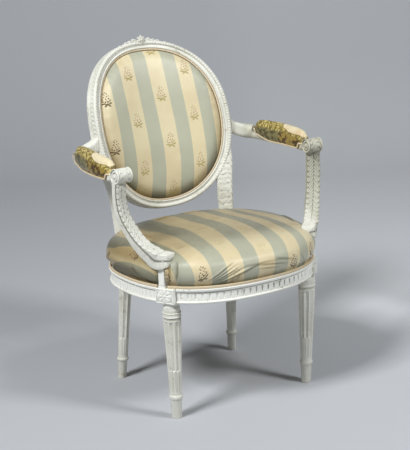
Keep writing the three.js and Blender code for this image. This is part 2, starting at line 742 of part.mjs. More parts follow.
// The scroll: a roll across the arm's end whose ends dish in to a raised eye.
function volute(grow = 0) {
  const [r, w] = [voluteRadius + grow, voluteHalfWidth + grow];
  const half = [
    [0, w], [voluteEye, w], [voluteEye * 1.3, w - voluteDish], [r * 0.8, w - voluteDish],
    [r, w - 2 * voluteDish],
  ];
  const profile = [...half, ...half.slice().reverse().map(([x, y]) => [x, -y])]
    .map(([x, y]) => new THREE.Vector2(x, y));
  const { across } = armFrame(1);
  const geometry = new THREE.LatheGeometry(profile.reverse(), turningSides);
  geometry.applyQuaternion(new THREE.Quaternion().setFromUnitVectors(new THREE.Vector3(0, 1, 0), across));
  return solidOf(geometry.translate(voluteX, voluteY, voluteZ));
}

// Stub at the arm's root, housed in the medallion's side.
function armRootTenon(grow = 0) {
  const { ahead } = armFrame(0);
  const middle = armRoot.clone().setZ(armRoot.z - armRootHeight * 0.1);
  const from = middle.clone().addScaledVector(ahead, -armTenonLength * 0.35 - grow);
  const to = middle.clone().addScaledVector(ahead, armTenonLength * 1.2);
  return rod(dowelRadius + grow, from, to, dowelSides);
}

// Arm supports

const neckPlace = frontPost.centre.clone()
  .addScaledVector(frontPost.out, neckRadialPlace)
  .addScaledVector(frontPost.along, neckTangentPlace);
const supportAhead = new THREE.Vector3(voluteX, voluteY, 0).sub(neckPlace.clone().setZ(0));
const supportRun = supportAhead.length();
supportAhead.normalize();
const supportTopZ = armBottom(1) - clearance;
const supportWide = new THREE.Vector3(Math.cos(supportTurn), -Math.sin(supportTurn), 0);

// Centre line of the bent board, from its toe over the neck and up to the arm.
function supportCurve() {
  const rise = supportTopZ - supportHeelZ;
  const at = (runShare, riseShare) => neckPlace.clone()
    .addScaledVector(supportAhead, supportRun * runShare).setZ(supportHeelZ + rise * riseShare);
  const toe = neckPlace.clone().addScaledVector(supportAhead, -supportToeReach).setZ(supportToeZ);
  return new THREE.CatmullRomCurve3([
    toe, at(0.1, 0), at(0.33, 0.066), at(0.53, 0.138), at(0.72, 0.26), at(0.93, 0.46),
    at(1.03, 0.6), at(1.08, 0.73), at(1.09, 0.86), at(1.07, 1.06),
  ]);
}

function supportBoard(grow = 0) {
  const steps = 16;
  const curve = supportCurve();
  const frames = Array.from({ length: steps + 1 }, (_, i) => {
    const origin = curve.getPoint(i / steps);
    const tangent = curve.getTangent(i / steps);
    const up = supportWide.clone().cross(tangent).normalize();
    return { origin, across: supportWide, up };
  });
  const widthShares = [[0, 0.85], [0.08, 1.08], [0.2, 1.12], [0.6, 1], [1, 0.97]];
  const depthShares = [[0, 1.35], [0.11, 2.4], [0.22, 1.85], [0.33, 1.5], [0.45, 1.2], [0.6, 1], [1, 1]];
  const board = sweep((share) => rectangle(
    supportWidth * tableAt(widthShares, share) + 2 * grow,
    supportDepth * tableAt(depthShares, share) + 2 * grow, supportDepth * 0.16), frames);
  const keepTop = supportTopZ + (grow > 0 ? armWoodHeight : 0);
  const span = supportRun + supportWidth;
  const trim = box(4 * span, 4 * span, armRootHeight, neckPlace.clone().setZ(keepTop + armRootHeight / 2));
  return board.subtract(trim).subtract(volute(clearance));
}

// The square neck between the block and the board.
function supportNeck(grow = 0) {
  const low = railTop + clearance - grow;
  const high = supportHeelZ;
  const levels = [
    [low, neckFootFlare], [mix(low, high, 0.12), 1], [mix(low, high, 0.6), 1], [high, neckHeadFlare],
  ];
  const deep = new THREE.Vector3(-supportWide.y, supportWide.x, 0);
  const frames = levels.map(([z]) => ({ origin: neckPlace.clone().setZ(z), across: supportWide, up: deep }));
  return sweep((share) => {
    const scale = levels[Math.round(share * (levels.length - 1))][1];
    return rectangle(neckSize * scale + 2 * grow, neckSize * scale * neckDepthShare + 2 * grow);
  }, frames);
}

// The way that is cut through the upholstery outside a neck, so that the neck stands free in front.
function neckWay(grow) {
  const low = railTop - cutOverrun;
  const centre = neckPlace.clone().addScaledVector(supportWide, neckSize).setZ((low + supportHeelZ) / 2);
  const across = neckSize * neckDepthShare * neckFootFlare + 2 * grow;
  return box(2 * neckSize, across, supportHeelZ - low, centre, -supportTurn);
}

function supportPegFoot(grow = 0) {
  const low = neckPlace.clone().setZ(railTop - footDowelDepth - grow);
  return rod(dowelRadius + grow, low, neckPlace.clone().setZ(railTop + tenonLength), dowelSides);
}

function supportPegHead(grow = 0) {
  const top = supportCurve().getPoint(1).setZ(supportTopZ);
  const low = top.clone().setZ(supportTopZ - tenonLength);
  return rod(dowelRadius + grow, low, top.setZ(supportTopZ + tenonLength * 0.6 + grow), dowelSides);
}

// Upholstery of the seat

const seatAround = 32;
const backAround = 30;

// Rings up the seat's swelling side and over its crown, each a share of the oval and of the crown.
const seatCoverShares = [
  [0.985, 0], [0.99, 0.08], [1.03, 0.26], [1.035, 0.48], [0.99, 0.7], [0.87, 0.88], [0.6, 0.975], [0.2, 1],
];
const seatLiningShares = [[0.975, 0], [1.03, 0.34], [0.99, 0.69], [0.6, 0.96], [0.2, 0.99]];

// The crowned seat. Inset and sink shrink it for the layers below the cover.
function seatDome(ringShares, baseZ, inset, sink) {
  const seatBase = railTop + clearance;
  const angles = roundAngles(seatAround);
  const rings = ringShares.map(([share, riseShare]) => angles.map((angle) => {
    const point = seatPoint(angle, inset, share);
    return new THREE.Vector3(point.x, point.y, seatBase + (seatCrown - sink) * riseShare);
  }));
  const base = rings[0].map((point) => point.clone().setZ(baseZ));
  if (baseZ < seatBase) rings.unshift(base);
  return skin(rings, rings[0].map((point) => new THREE.Vector2(point.x, point.y)));
}

const coverInset = gimpWidth + 2 * clearance - topMouldProud;
const webFloor = railTop - tackRabbetDepth + clearance;
const hessianZ = webFloor + 2 * webThickness + 2 * clearance;
const stuffingZ = hessianZ + hessianThickness + clearance;

// The posts that the seat's cover and stuffing are cut round, on both sides.
function seatPosts(grow) {
  const right = supportNeck(grow).add(neckWay(grow)).add(supportBoard(grow))
    .add(stile(grow)).add(postBlock(rearPost, grow));
  return right.add(mirrored(right));
}

function seatCover() {
  const outer = seatDome(seatCoverShares, railTop + clearance, coverInset, 0);
  const inner = seatDome(seatLiningShares, railTop - cutOverrun, coverInset + coverThickness, coverThickness);
  return outer.subtract(inner).subtract(seatPosts(postRelief));
}

function seatStuffing() {
  const lipInset = lipWidth - topMouldProud + clearance;
  const shrink = coverThickness + clearance;
  const fill = seatDome(seatLiningShares, railTop + clearance, coverInset + shrink, shrink);
  const rings = [stuffingZ, railTop + 2 * clearance].map((z) => seatRing(lipInset, z));
  const root = skin(rings, rings[0].map((point) => new THREE.Vector2(point.x, point.y)));
  const blocks = postBlock(frontPost, clearance);
  return mainBody(fill.add(root).subtract(seatPosts(postRelief + clearance))
    .subtract(blocks).subtract(mirrored(blocks)));
}

function seatRing(inset, z) {
  return roundAngles(seatAround).map((angle) => {
    const point = seatPoint(angle, inset);
    return new THREE.Vector3(point.x, point.y, z);
  });
}

function seatHessian() {
  const inset = lipWidth - topMouldProud + clearance;
  const rings = [hessianZ, hessianZ + hessianThickness].map((z) => seatRing(inset, z));
  const sheet = skin(rings, rings[0].map((point) => new THREE.Vector2(point.x, point.y)));
  const posts = postBlock(frontPost, clearance).add(postBlock(rearPost, clearance));
  return sheet.subtract(posts).subtract(mirrored(posts));
}

// A strap of webbing. It lies on the rabbet's floor and rises over every other crossing strap.
function strap(ends, crossings, pointAt, wide, overFirst) {
  const high = webThickness + clearance;
  const slope = (crossings[1] - crossings[0] - webWidth) * 0.6;
  const stations = [[ends[0], 0]];
  crossings.forEach((place, i) => {
    if ((i % 2 === 0) !== overFirst) return;
    const half = webWidth / 2 + clearance;
    stations.push([place - half - slope, 0], [place - half, high]);
    stations.push([place + half, high], [place + half + slope, 0]);
  });
  stations.push([ends[1], 0]);
  const up = new THREE.Vector3(0, 0, 1);
  const frames = stations.map(([place, lift]) => ({
    origin: pointAt(place).setZ(webFloor + webThickness / 2 + lift), across: wide, up,
  }));
  return sweep(() => rectangle(webWidth, webThickness), frames);
}

const spread = (count) => Array.from({ length: count }, (_, i) => i - (count - 1) / 2);
const strapXs = spread(webCount).map((step) => step * webPitchAcross);
const postReach = (post) => post.size * Math.SQRT1_2 + webWidth / 2 + webPostGap;
const strapYs = Array.from({ length: webCount }, (_, i) => mix(
  frontPost.centre.y + postReach(frontPost), rearPost.centre.y - postReach(rearPost), i / (webCount - 1)));

function lengthwiseStrap(i) {
  const inset = lipWidth - topMouldProud + 2 * clearance;
  const edge = Math.abs(strapXs[i]) + webWidth / 2;
  const front = seatCentreY - seatReachAt(edge, inset, seatFrontReach);
  const back = seatCentreY + seatReachAt(edge, inset, seatBackReach);
  return strap([front, back], strapYs, (y) => new THREE.Vector3(strapXs[i], y, 0),
    new THREE.Vector3(1, 0, 0), i % 2 === 0);
}

function crosswiseStrap(i) {
  const inset = lipWidth - topMouldProud + 2 * clearance;
  const edge = Math.min(...[-1, 1].map((side) => seatHalfWidthAt(strapYs[i] + side * webWidth / 2, inset)));
  return strap([-edge, edge], strapXs, (x) => new THREE.Vector3(x, strapYs[i], 0),
    new THREE.Vector3(0, 1, 0), i % 2 !== 0);
}

// The gap in the gimp where a post of a given width stands on the rails.
function gimpBreak(post, centre, width) {
  const reach = 2 * post.size;
  const middle = centre.clone().addScaledVector(post.out, reach / 4).setZ(railTop + gimpHeight / 2);
  return box(width + 2 * postRelief, reach, 2 * gimpHeight, middle, post.turn);
}

// The gimp round the seat, parted by the four posts.
function seatGimps() {
  const steps = seatAround;
  const outer = topMouldProud - clearance;
  const outline = rectangle(gimpWidth, gimpHeight)
    .map((p) => p.add(new THREE.Vector2(outer - gimpWidth / 2, railTop + clearance + gimpHeight / 2)));
  const half = Math.PI / steps;
  const frames = seatFrames(half, 2 * Math.PI + half, steps).slice(0, -1);
  const ring = sweep(() => outline, frames, true);
  const breaks = gimpBreak(frontPost, neckPlace, neckSize * 1.2)
    .add(gimpBreak(rearPost, rearPost.centre, stileWidth));
  const parts = ring.subtract(breaks).subtract(mirrored(breaks)).decompose();
  const placed = parts.map((solid) => {
    const bounds = solid.boundingBox();
    return { solid, x: (bounds.min[0] + bounds.max[0]) / 2, y: (bounds.min[1] + bounds.max[1]) / 2 };
  });
  const by = (value) => placed.reduce((best, item) => (value(item) > value(best) ? item : best)).solid;
  return {
    front: by((item) => -item.y), back: by((item) => item.y),
    right: by((item) => -item.x), left: by((item) => item.x),
  };
}

// Upholstery of the back

// A layer of the back's padding as rings from one face to the other. A row is a share of the
// oval's reach, a depth and an inset.
function backLayer(offset, rows) {
  const angles = roundAngles(backAround);
  const rings = rows.map(([share, depth, inset]) => angles.map((angle) => {
    const place = ovalPoint(angle, offset - inset);
    return backPoint(place.x * share, place.y * share, depth);
  }));
  return skin(rings, angles.map((angle) => ovalPoint(angle, offset)));
}

const backCoverOffset = -(gimpWidth + facetSlack + clearance);
const ledgeDepth = -backFrontRabbet + clearance;
const backCoverShares = [[1, 0], [0.97, 0.26], [0.86, 0.62], [0.62, 0.9], [0.15, 1]];
const backLiningShares = [[1, 0], [0.86, 0.6], [0.5, 0.92], [0.2, 0.97]];
const backSheetShares = [1, 0.9, 0.5];

// Rows over the padding's crowned face, from the rim to the middle.
function backDome(shares, sink, inset) {
  return shares.map(([share, rise]) => [share, mix(-backBeadProud, backCrown, rise) - sink, inset]);
}

// The padding with a flat floor at a depth. Shrink draws it in below the cover.
function backPadding(shares, floorDepth, shrink) {
  const floor = [...backSheetShares].reverse().map((share) => [share, floorDepth, shrink]);
  return backLayer(backCoverOffset, [...floor, ...backDome(shares, shrink, shrink)]);
}

function backCover() {
  const lining = backPadding(backLiningShares, ledgeDepth - cutOverrun, coverThickness);
  return backPadding(backCoverShares, ledgeDepth, 0).subtract(lining);
}

function backStuffing() {
  const floorDepth = ledgeDepth + hessianThickness + facetSlack + clearance;
  return backPadding(backLiningShares, floorDepth, coverThickness + clearance);
}

// A cloth that follows the board at a depth, sunk in the middle by a crown.
function backCloth(offset, depth, thickness, crown = 0) {
  const rows = backSheetShares.map((share) => [share, depth - crown * (1 - share), 0]);
  const under = rows.map(([share, at, inset]) => [share, at - thickness, inset]).reverse();
  return backLayer(offset, [...under, ...rows]);
}

function backHessian() {
  const offset = backCoverOffset - coverThickness - clearance;
  return backCloth(offset, ledgeDepth + hessianThickness, hessianThickness);
}

const outsideDepth = -backWoodDepth + backRearRabbet - facetSlack;

function outsideCover() {
  const offset = -backLedgeWidth + backRearRabbetWidth - facetSlack;
  return backCloth(offset, outsideDepth, coverThickness, outsideCrown);
}

function backGimpFront() {
  const deep = backFrontRabbet + backGimpRise - clearance;
  const outline = rectangle(gimpWidth, deep)
    .map((p) => p.add(new THREE.Vector2(-gimpWidth / 2 - facetSlack, ledgeDepth + deep / 2)));
  return medallionLoop(outline);
}

function backGimpRear() {
  const rimRise = outsideCrown * gimpWidth / backHalfWidth;
  const face = outsideDepth - coverThickness - clearance - rimRise;
  const outer = -backLedgeWidth + backRearRabbetWidth - facetSlack;
  const thick = coverThickness * 0.8;
  const outline = rectangle(gimpWidth, thick)
    .map((p) => p.add(new THREE.Vector2(outer - gimpWidth / 2, face - thick / 2)));
  return medallionLoop(outline);
}

// Arm pads

// A pad's ring: shares of its half length, half width and height, and how square its corners are.
// The pad hangs over the wood's sides down to its skirt.
const padAround = 16;
const padCoverShares = [
  [1, 0.84, 0, 5], [1, 0.86, 0.1, 5], [1.01, 1, 0.36, 4], [0.995, 0.98, 0.68, 3.2], [0.93, 0.7, 0.93, 2.6],
  [0.72, 0.26, 1, 2.4],
];
const padLiningShares = [
  [1, 0.84, 0, 5], [1, 0.86, 0.12, 5], [1.005, 0.98, 0.42, 4], [0.96, 0.82, 0.81, 3], [0.72, 0.26, 0.98, 2.4],
];

function padRing([lengthShare, widthShare, rise, squareness], shrink, lift = 0) {
  const [centre, reach] = [(padStartShare + padEndShare) / 2, (padEndShare - padStartShare) / 2];
  const power = 2 / squareness;
  return roundAngles(padAround).map((angle) => {
    const [c, s] = [Math.cos(angle), Math.sin(angle)];
    const share = centre + Math.sign(c) * Math.abs(c) ** power * (reach * lengthShare - shrink / armLength);
    const aside = Math.sign(s) * Math.abs(s) ** power * (padHalfWidth * widthShare - shrink);
    const height = mix(padRearHeight, padFrontHeight, (share - padStartShare) / (2 * reach));
    const { point, across } = armFrame(share);
    const skirtZ = padSeatZ(share) - armWoodHeight + padSkirtRise;
    return point.setZ(mix(skirtZ, padSeatZ(share) + height - shrink, rise) + lift)
      .addScaledVector(across, aside);
  });
}

function padDome(shares, shrink, floorDrop = 0) {
  const rings = shares.map((row) => padRing(row, shrink));
  if (floorDrop > 0) rings.unshift(padRing(shares[0], shrink, -floorDrop));
  return skin(rings, padOutline());
}

function padOutline() {
  return padRing(padCoverShares[0], 0).map((point) => new THREE.Vector2(point.x, point.y));
}

function padCover() {
  return padDome(padCoverShares, 0).subtract(padDome(padLiningShares, coverThickness, cutOverrun))
    .subtract(armBeam(clearance));
}

// The stuffing lies on the wood and is cut level with it.
function padStuffing() {
  const wide = 4 * padHalfWidth;
  const rings = armStationShares.map((share) => {
    const { point, across } = armFrame(share);
    const top = armTop(share) + clearance;
    return rectangle(wide, armWoodHeight).map((p) =>
      point.clone().setZ(top - armWoodHeight / 2 + p.y).addScaledVector(across, p.x));
  });
  const below = skin(rings, rectangle(wide, armWoodHeight));
  return mainBody(padDome(padLiningShares, coverThickness + clearance).subtract(below));
}

// The braid round a pad's skirt. It climbs over the wood at both ends.
const padGimpSideShares = [1.005, 0.9, 0, 5];
const padGimpEndShares = [1.02, 1.02, 0.4, 4.2];

function padGimp() {
  const corners = [[0, 0], [padGimpWidth, 0], [padGimpWidth, padGimpHeight], [0, padGimpHeight]];
  const climbFrom = Math.cos(Math.PI / 4);
  const rings = corners.map(([out, lift]) => {
    const side = padRing(padGimpSideShares, -clearance - out, lift);
    const end = padRing(padGimpEndShares, -clearance - out, lift);
    return side.map((point, i) =>
      (Math.abs(Math.cos(roundAngles(padAround)[i])) > climbFrom ? end[i] : point));
  });
  return skin(rings, padOutline(), true);
}

// Assembly of the frame's solids

function medallionSide(grow = 0) {
  return medallionSweep(medallionOutline(grow), sideLowAngle, sideHighAngle, 10);
}

function rearLegAndStile() {
  return leg(rearLegTurning, rearPost, rearFootShift)
    .add(stile().subtract(medallionOpening()))
    .add(medallionSide())
    .subtract(railPeg(rearPost, 1, clearance))
    .subtract(railPeg(rearPost, -1, clearance))
    .subtract(medallionPeg(sideLowAngle, 1, clearance))
    .subtract(medallionPeg(sideHighAngle, -1, clearance))
    .subtract(railTenon(rearPost, 1, clearance))
    .subtract(railTenon(rearPost, -1, clearance))
    .subtract(medallionTenon(sideLowAngle, clearance))
    .subtract(medallionTenon(sideHighAngle, clearance))
    .subtract(armRootTenon(clearance));
}

function frontLeg() {
  return leg(frontLegTurning, frontPost, frontFootShift)
    .add(rosette(frontPost))
    .subtract(railTenon(frontPost, 1, clearance))
    .subtract(railTenon(frontPost, -1, clearance))
    .subtract(railPeg(frontPost, 1, clearance))
    .subtract(railPeg(frontPost, -1, clearance))
    .subtract(supportPegFoot(clearance));
}

function arm() {
  const raw = armBeam().add(volute());
  return mainBody(raw.subtract(medallionSide(clearance)).subtract(stile(clearance)).add(armRootTenon())
    .subtract(supportPegHead(clearance)));
}

function armSupport() {
  return supportBoard().add(supportNeck()).add(supportPegFoot()).add(supportPegHead());
}

// A rail's tenon with the hole for its peg.
function pegged(tenon, post, side) {
  return tenon.subtract(railPeg(post, side, clearance));
}

function frontRail() {
  const blocks = postBlock(frontPost, clearance);
  return rail(-frontLegAngle, frontLegAngle, 16)
    .subtract(blocks).subtract(mirrored(blocks))
    .add(pegged(railTenon(frontPost, -1), frontPost, -1))
    .add(mirrored(pegged(railTenon(frontPost, -1), frontPost, -1)));
}

function sideRail() {
  return rail(frontLegAngle, rearLegAngle, 14)
    .subtract(postBlock(frontPost, clearance)).subtract(postBlock(rearPost, clearance))
    .add(pegged(railTenon(frontPost, 1), frontPost, 1))
    .add(pegged(railTenon(rearPost, -1), rearPost, -1));
}

function rearRail() {
  const blocks = postBlock(rearPost, clearance);
  return rail(rearLegAngle, 2 * Math.PI - rearLegAngle, 10)
    .subtract(blocks).subtract(mirrored(blocks))
    .add(pegged(railTenon(rearPost, 1), rearPost, 1))
    .add(mirrored(pegged(railTenon(rearPost, 1), rearPost, 1)));
}

function medallionTop() {
  const raw = medallionSweep(medallionOutline(), sideHighAngle + jointGapAngle,
    Math.PI - sideHighAngle - jointGapAngle, 12);
  const tenon = medallionTenon(sideHighAngle).subtract(medallionPeg(sideHighAngle, -1, clearance));
  return raw.add(crest()).add(tenon).add(mirrored(tenon));
}

function medallionBottom() {
  const raw = medallionSweep(medallionOutline(), -Math.PI - sideLowAngle + jointGapAngle,
    sideLowAngle - jointGapAngle, 12);
  const tenon = medallionTenon(sideLowAngle).subtract(medallionPeg(sideLowAngle, 1, clearance));
  const stiles = stile(clearance);
  return raw.subtract(stiles).subtract(mirrored(stiles)).add(tenon).add(mirrored(tenon));
}

const chair = new THREE.Group();

function place(name, solid, material) {
  const mesh = new THREE.Mesh(geometryOf(solid), material);
  mesh.name = name;
  chair.add(mesh);
}

function placePair(name, solid, material) {
  place(name + "_left", solid, material);
  place(name + "_right", mirrored(solid), material);
}

placePair("front_leg", frontLeg(), materials.paint);
placePair("rear_leg", rearLegAndStile(), materials.paint);
place("front_rail", frontRail(), materials.paint);
placePair("side_rail", sideRail(), materials.paint);
place("rear_rail", rearRail(), materials.paint);
place("medallion_top_rail", medallionTop(), materials.paint);
place("medallion_bottom_rail", medallionBottom(), materials.paint);
placePair("arm", arm(), materials.paint);
placePair("arm_support", armSupport(), materials.paint);
placePair("peg_front_rail", railPeg(frontPost, -1), materials.beech);
placePair("peg_side_rail_front", railPeg(frontPost, 1), materials.beech);
placePair("peg_side_rail_rear", railPeg(rearPost, -1), materials.beech);
placePair("peg_rear_rail", railPeg(rearPost, 1), materials.beech);
placePair("peg_medallion_top", medallionPeg(sideHighAngle, -1), materials.beech);
placePair("peg_medallion_bottom", medallionPeg(sideLowAngle, 1), materials.beech);
placePair("front_corner_brace", cornerBrace(frontPost, frontLegAngle), materials.beech);
placePair("rear_corner_brace", cornerBrace(rearPost, rearLegAngle), materials.beech);
for (let i = 0; i < webCount; i++) {
  place("seat_web_lengthwise_" + (i + 1), lengthwiseStrap(i), materials.webbing);
  place("seat_web_crosswise_" + (i + 1), crosswiseStrap(i), materials.webbing);
}
place("seat_hessian", seatHessian(), materials.hessian);
place("seat_stuffing", seatStuffing(), materials.horsehair);
place("seat_cover", seatCover(), materials.silk);
for (const [side, solid] of Object.entries(seatGimps())) place("seat_gimp_" + side, solid, materials.gimp);
place("back_cover", backCover(), materials.silk);
place("back_stuffing", backStuffing(), materials.horsehair);
place("back_hessian", backHessian(), materials.hessian);
place("back_outside_cover", outsideCover(), materials.silk);
place("back_gimp_front", backGimpFront(), materials.gimp);
place("back_gimp_rear", backGimpRear(), materials.gimp);
placePair("arm_pad_cover", padCover(), materials.brocade);
placePair("arm_pad_stuffing", padStuffing(), materials.horsehair);
placePair("arm_pad_gimp", padGimp(), materials.gimp);

const bounds = new THREE.Box3().setFromObject(chair);
const middle = bounds.getCenter(new THREE.Vector3());
chair.position.set(-middle.x, -middle.y, -bounds.min.z);

export default chair;
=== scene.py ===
import math

import bmesh
import bpy
import numpy as np
from mathutils import Matrix, Vector


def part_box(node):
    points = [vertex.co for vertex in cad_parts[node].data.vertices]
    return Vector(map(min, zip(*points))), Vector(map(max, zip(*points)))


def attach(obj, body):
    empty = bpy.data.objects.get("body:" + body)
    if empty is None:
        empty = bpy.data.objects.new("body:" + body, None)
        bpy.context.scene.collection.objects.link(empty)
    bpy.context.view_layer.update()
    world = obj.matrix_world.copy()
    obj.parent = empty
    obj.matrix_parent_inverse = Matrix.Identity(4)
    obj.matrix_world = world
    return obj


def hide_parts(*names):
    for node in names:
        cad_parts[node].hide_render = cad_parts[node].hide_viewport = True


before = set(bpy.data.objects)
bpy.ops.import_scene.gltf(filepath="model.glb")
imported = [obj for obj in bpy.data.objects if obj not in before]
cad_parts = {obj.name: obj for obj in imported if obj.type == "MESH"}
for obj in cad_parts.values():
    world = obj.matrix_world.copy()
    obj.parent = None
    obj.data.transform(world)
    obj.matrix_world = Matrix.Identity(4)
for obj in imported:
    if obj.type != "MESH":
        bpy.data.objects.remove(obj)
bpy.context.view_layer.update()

# Sizes of the chair in millimetres. X runs across it, Y to its back and Z up.
# The seat's oval: half width, reach ahead of its centre and behind it, the centre and the power.
SEAT_HALF_WIDTH, SEAT_FRONT, SEAT_BACK, SEAT_CENTRE_Y, SEAT_POWER = 258.0, 244.0, 212.0, 33.0, 2.42
SEAT_CENTRE = np.array([0, SEAT_CENTRE_Y])
SEAT_CROWN = 94.0
# The rails' lower and upper edge, and how far their moulding stands out of the seat's oval.
RAIL_LOW, RAIL_TOP, RAIL_PROUD = 307.0, 345.0, 4.0
# The medallion's oval, its middle, its lean, the radius it is bent to, and its frame's section.
BACK_HALF_WIDTH, BACK_HALF_HEIGHT, BACK_POWER = 184.0, 208.0, 2.25
BACK_CENTRE_Y, BACK_CENTRE_Z, BACK_LEAN, BACK_HOLLOW = 284.4, 669.3, math.radians(15.8), 383.0
BACK_FACE, BACK_DEPTH = 20.0, 28.0
# The joints of the medallion's frame, as angles of its oval.
SIDE_LOW, SIDE_HIGH = math.radians(-50), math.radians(42)
# The scroll's middle, radius and half width.
VOLUTE_X, VOLUTE_Y, VOLUTE_Z, VOLUTE_RADIUS, VOLUTE_HALF = 284.0, -40.0, 620.0, 18.5, 23.0
# Where the legs stand round the seat, from its front, and how far the front blocks are turned.
FRONT_ANGLE, REAR_ANGLE, FRONT_TURN = math.radians(54.4), math.radians(135.0), math.radians(60.0)
# The silk, in metres: a stripe's start, the width of a pair, its cream share, a sprig's repeat.
STRIPE_START, STRIPE_PITCH, CREAM_SHARE, SPRIG_PITCH = -0.089, 0.0865, 0.526, 0.128
# Where an arm's pad starts and ends, as shares of the arm's length from the back.
PAD_START, PAD_END = 0.27, 0.905
# The arm's upper face at the scroll, its height there, and the board's heel and toe.
ARM_TOP_END, ARM_HEIGHT = VOLUTE_Z + VOLUTE_RADIUS * 0.45, 23.0
HEEL_Z, TOE_Z = 413.5, 414.5
UP = np.array([0, 0, 1.0])

# The frame's own place of the chair: the front rail's moulding lies this far ahead of the seat's centre.
SHIFT_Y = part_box("front_rail")[0].y * 1000 - (SEAT_CENTRE_Y - SEAT_FRONT - RAIL_PROUD)


# ---- shader sheets ----

class Mark:
    """A value that varies over a surface. Arithmetic on it adds Math nodes to its finish."""

    def __init__(self, finish, socket):
        self.finish, self.socket = finish, socket

    def __add__(self, other):
        return self.finish.math("ADD", self, other)

    def __sub__(self, other):
        return self.finish.math("SUBTRACT", self, other)

    def __rsub__(self, other):
        return self.finish.math("SUBTRACT", other, self)

    def __mul__(self, other):
        return self.finish.math("MULTIPLY", self, other)

    def __truediv__(self, other):
        return self.finish.math("DIVIDE", self, other)


class Finish:
    """One material of the chair and the nodes that make it."""

    def __init__(self, name, view_colour):
        self.material = bpy.data.materials.new(name)
        self.material.use_nodes = True
        self.material.diffuse_color = (*view_colour, 1)
        self.tree = self.material.node_tree
        self.shader = self.tree.nodes["Principled BSDF"]

    def fill(self, socket, value):
        """Links a Mark to a socket, or sets the socket to a plain value."""
        if isinstance(value, Mark):
            self.tree.links.new(value.socket, socket)
        else:
            socket.default_value = value

    def add(self, kind, sockets=(), take=0, **settings):
        """Adds a node of a kind, sets it, fills its sockets and gives one of its outputs."""
        node = self.tree.nodes.new(kind)
        for key, value in settings.items():
            setattr(node, key, value)
        for key, value in dict(sockets).items():
            self.fill(node.inputs[key], value)
        return Mark(self, node.outputs[take])

    def math(self, operation, *values):
        """The result of one Math node."""
        return self.add("ShaderNodeMath", enumerate(values), operation=operation)

    def blend(self, amount, first, second):
        """A mix of two colours, each a Mark or as a screen shows it, 0 to 255."""
        first, second = (c if isinstance(c, Mark) else shade(*c) for c in (first, second))
        return self.add("ShaderNodeMix", {0: amount, 6: first, 7: second}, 2, data_type="RGBA")

    def ease(self, value, low, high, start=0.0, end=1.0):
        """A smooth S from start, where the value is low, to end, where it is high."""
        return self.add("ShaderNodeMapRange", {0: value, 1: low, 2: high, 3: start, 4: end},
                        interpolation_type="SMOOTHSTEP")

    def noise(self, vector, scale, detail=3.0, rough=0.55):
        """Soft noise about 0.5."""
        return self.add("ShaderNodeTexNoise",
                        {"Vector": vector, "Scale": scale, "Detail": detail, "Roughness": rough})

    def stretch(self, vector, *size):
        """A vector with each of its parts multiplied by a size."""
        return self.add("ShaderNodeVectorMath", {0: vector, 1: size}, operation="MULTIPLY")

    def threads(self, vector):
        """Noise as fine as single threads."""
        return self.noise(self.stretch(vector, 900.0, 900.0, 900.0), 1.0, 2.0)

    def axes(self, vector):
        """The X, Y and Z of a vector."""
        split = self.add("ShaderNodeSeparateXYZ", {0: vector})
        return [Mark(self, output) for output in split.socket.node.outputs]

    def place(self):
        """Place on the chair, in metres."""
        return self.add("ShaderNodeTexCoord", take=3)

    def cloth(self):
        """Place on the cloth itself, in metres: X across the stripes and Y along them."""
        return self.add("ShaderNodeUVMap", uv_map="cloth")

    def dirt_and_shade(self):
        """Dirt and painted shade: 1 in the hollows of the carving, where shade falls, or on the darkest cloth,
        else 0.
        """
        return self.add("ShaderNodeAttribute", take=2, attribute_name="dirt_and_shade")

    def bump(self, height, depth, strength):
        """A normal tilted by the slope of a height."""
        return self.add("ShaderNodeBump", {"Strength": strength, "Distance": depth, "Height": height})

    def dress(self, **sockets):
        """Fills the main shader's sockets, by their names with a low line for each gap, and gives
        the material."""
        for key, value in sockets.items():
            self.fill(self.shader.inputs[key.replace("_", " ")], value)
        return self.material


def shade(red, green, blue):
    """A colour as a screen shows it, 0 to 255, turned into the shader's linear values."""
    parts = [v / 255 for v in (red, green, blue)]
    return tuple(v / 12.92 if v <= 0.04045 else ((v + 0.055) / 1.055) ** 2.4 for v in parts) + (1.0,)


def painted_wood():
    """Worn grey-white paint over carving: dirt and painted shade in the hollows, rubbed and chipped high places.
    The paint of the rails is made lighter as painted light, and the arm at the far side darker as painted shade."""
    f = Finish("painted_wood", (0.8, 0.8, 0.76))
    place = f.place()
    x, _, z = f.axes(place)
    wide, fine = f.noise(place, 14.0, 4.0), f.noise(place, 95.0, 5.0, 0.65)
    streak = f.noise(f.stretch(place, 220.0, 220.0, 26.0), 1.0, 3.0)
    # Dirt and painted shade in the hollows, made stronger on the far side as painted shade.
    dirt_and_shade = f.dirt_and_shade() * f.ease(x, 0.22, 0.26, 1.0, 1.9)
    # Painted light: the paint over the rails is made lighter. Painted shade: the far arm's paint is made darker.
    rails_painted_light = f.ease(z, 0.29, 0.33) * f.ease(z, 0.375, 0.4, 1.0, 0.0)
    far_arm_painted_shade = f.ease(x, 0.22, 0.26) * f.ease(z, 0.4, 0.43)
    paint = f.blend(f.ease(wide, 0.35, 0.7), (229, 228, 218), (214, 213, 201))
    paint = f.blend(rails_painted_light * 0.75, paint, (250, 250, 244))
    paint = f.blend(far_arm_painted_shade * 0.75, paint, (180, 178, 158))
    # Dirt and painted shade darken the paint in the hollows.
    paint = f.blend(f.ease(dirt_and_shade + (fine - 0.5) * 0.6, 0.15, 0.95) * 0.85, paint, (122, 120, 106))
    chips = f.ease(fine + (wide - 0.5) * 0.5, 0.65, 0.69)
    paint = f.blend(chips * 0.6, paint, (168, 160, 138))
    return f.dress(Base_Color=f.blend(f.ease(streak, 0.45, 0.75) * 0.2, paint, (196, 193, 178)),
                   Roughness=f.ease(fine, 0.3, 0.8, 0.42, 0.62),
                   Normal=f.bump(fine * 0.6 + streak * 0.4, 0.0008, 0.6))


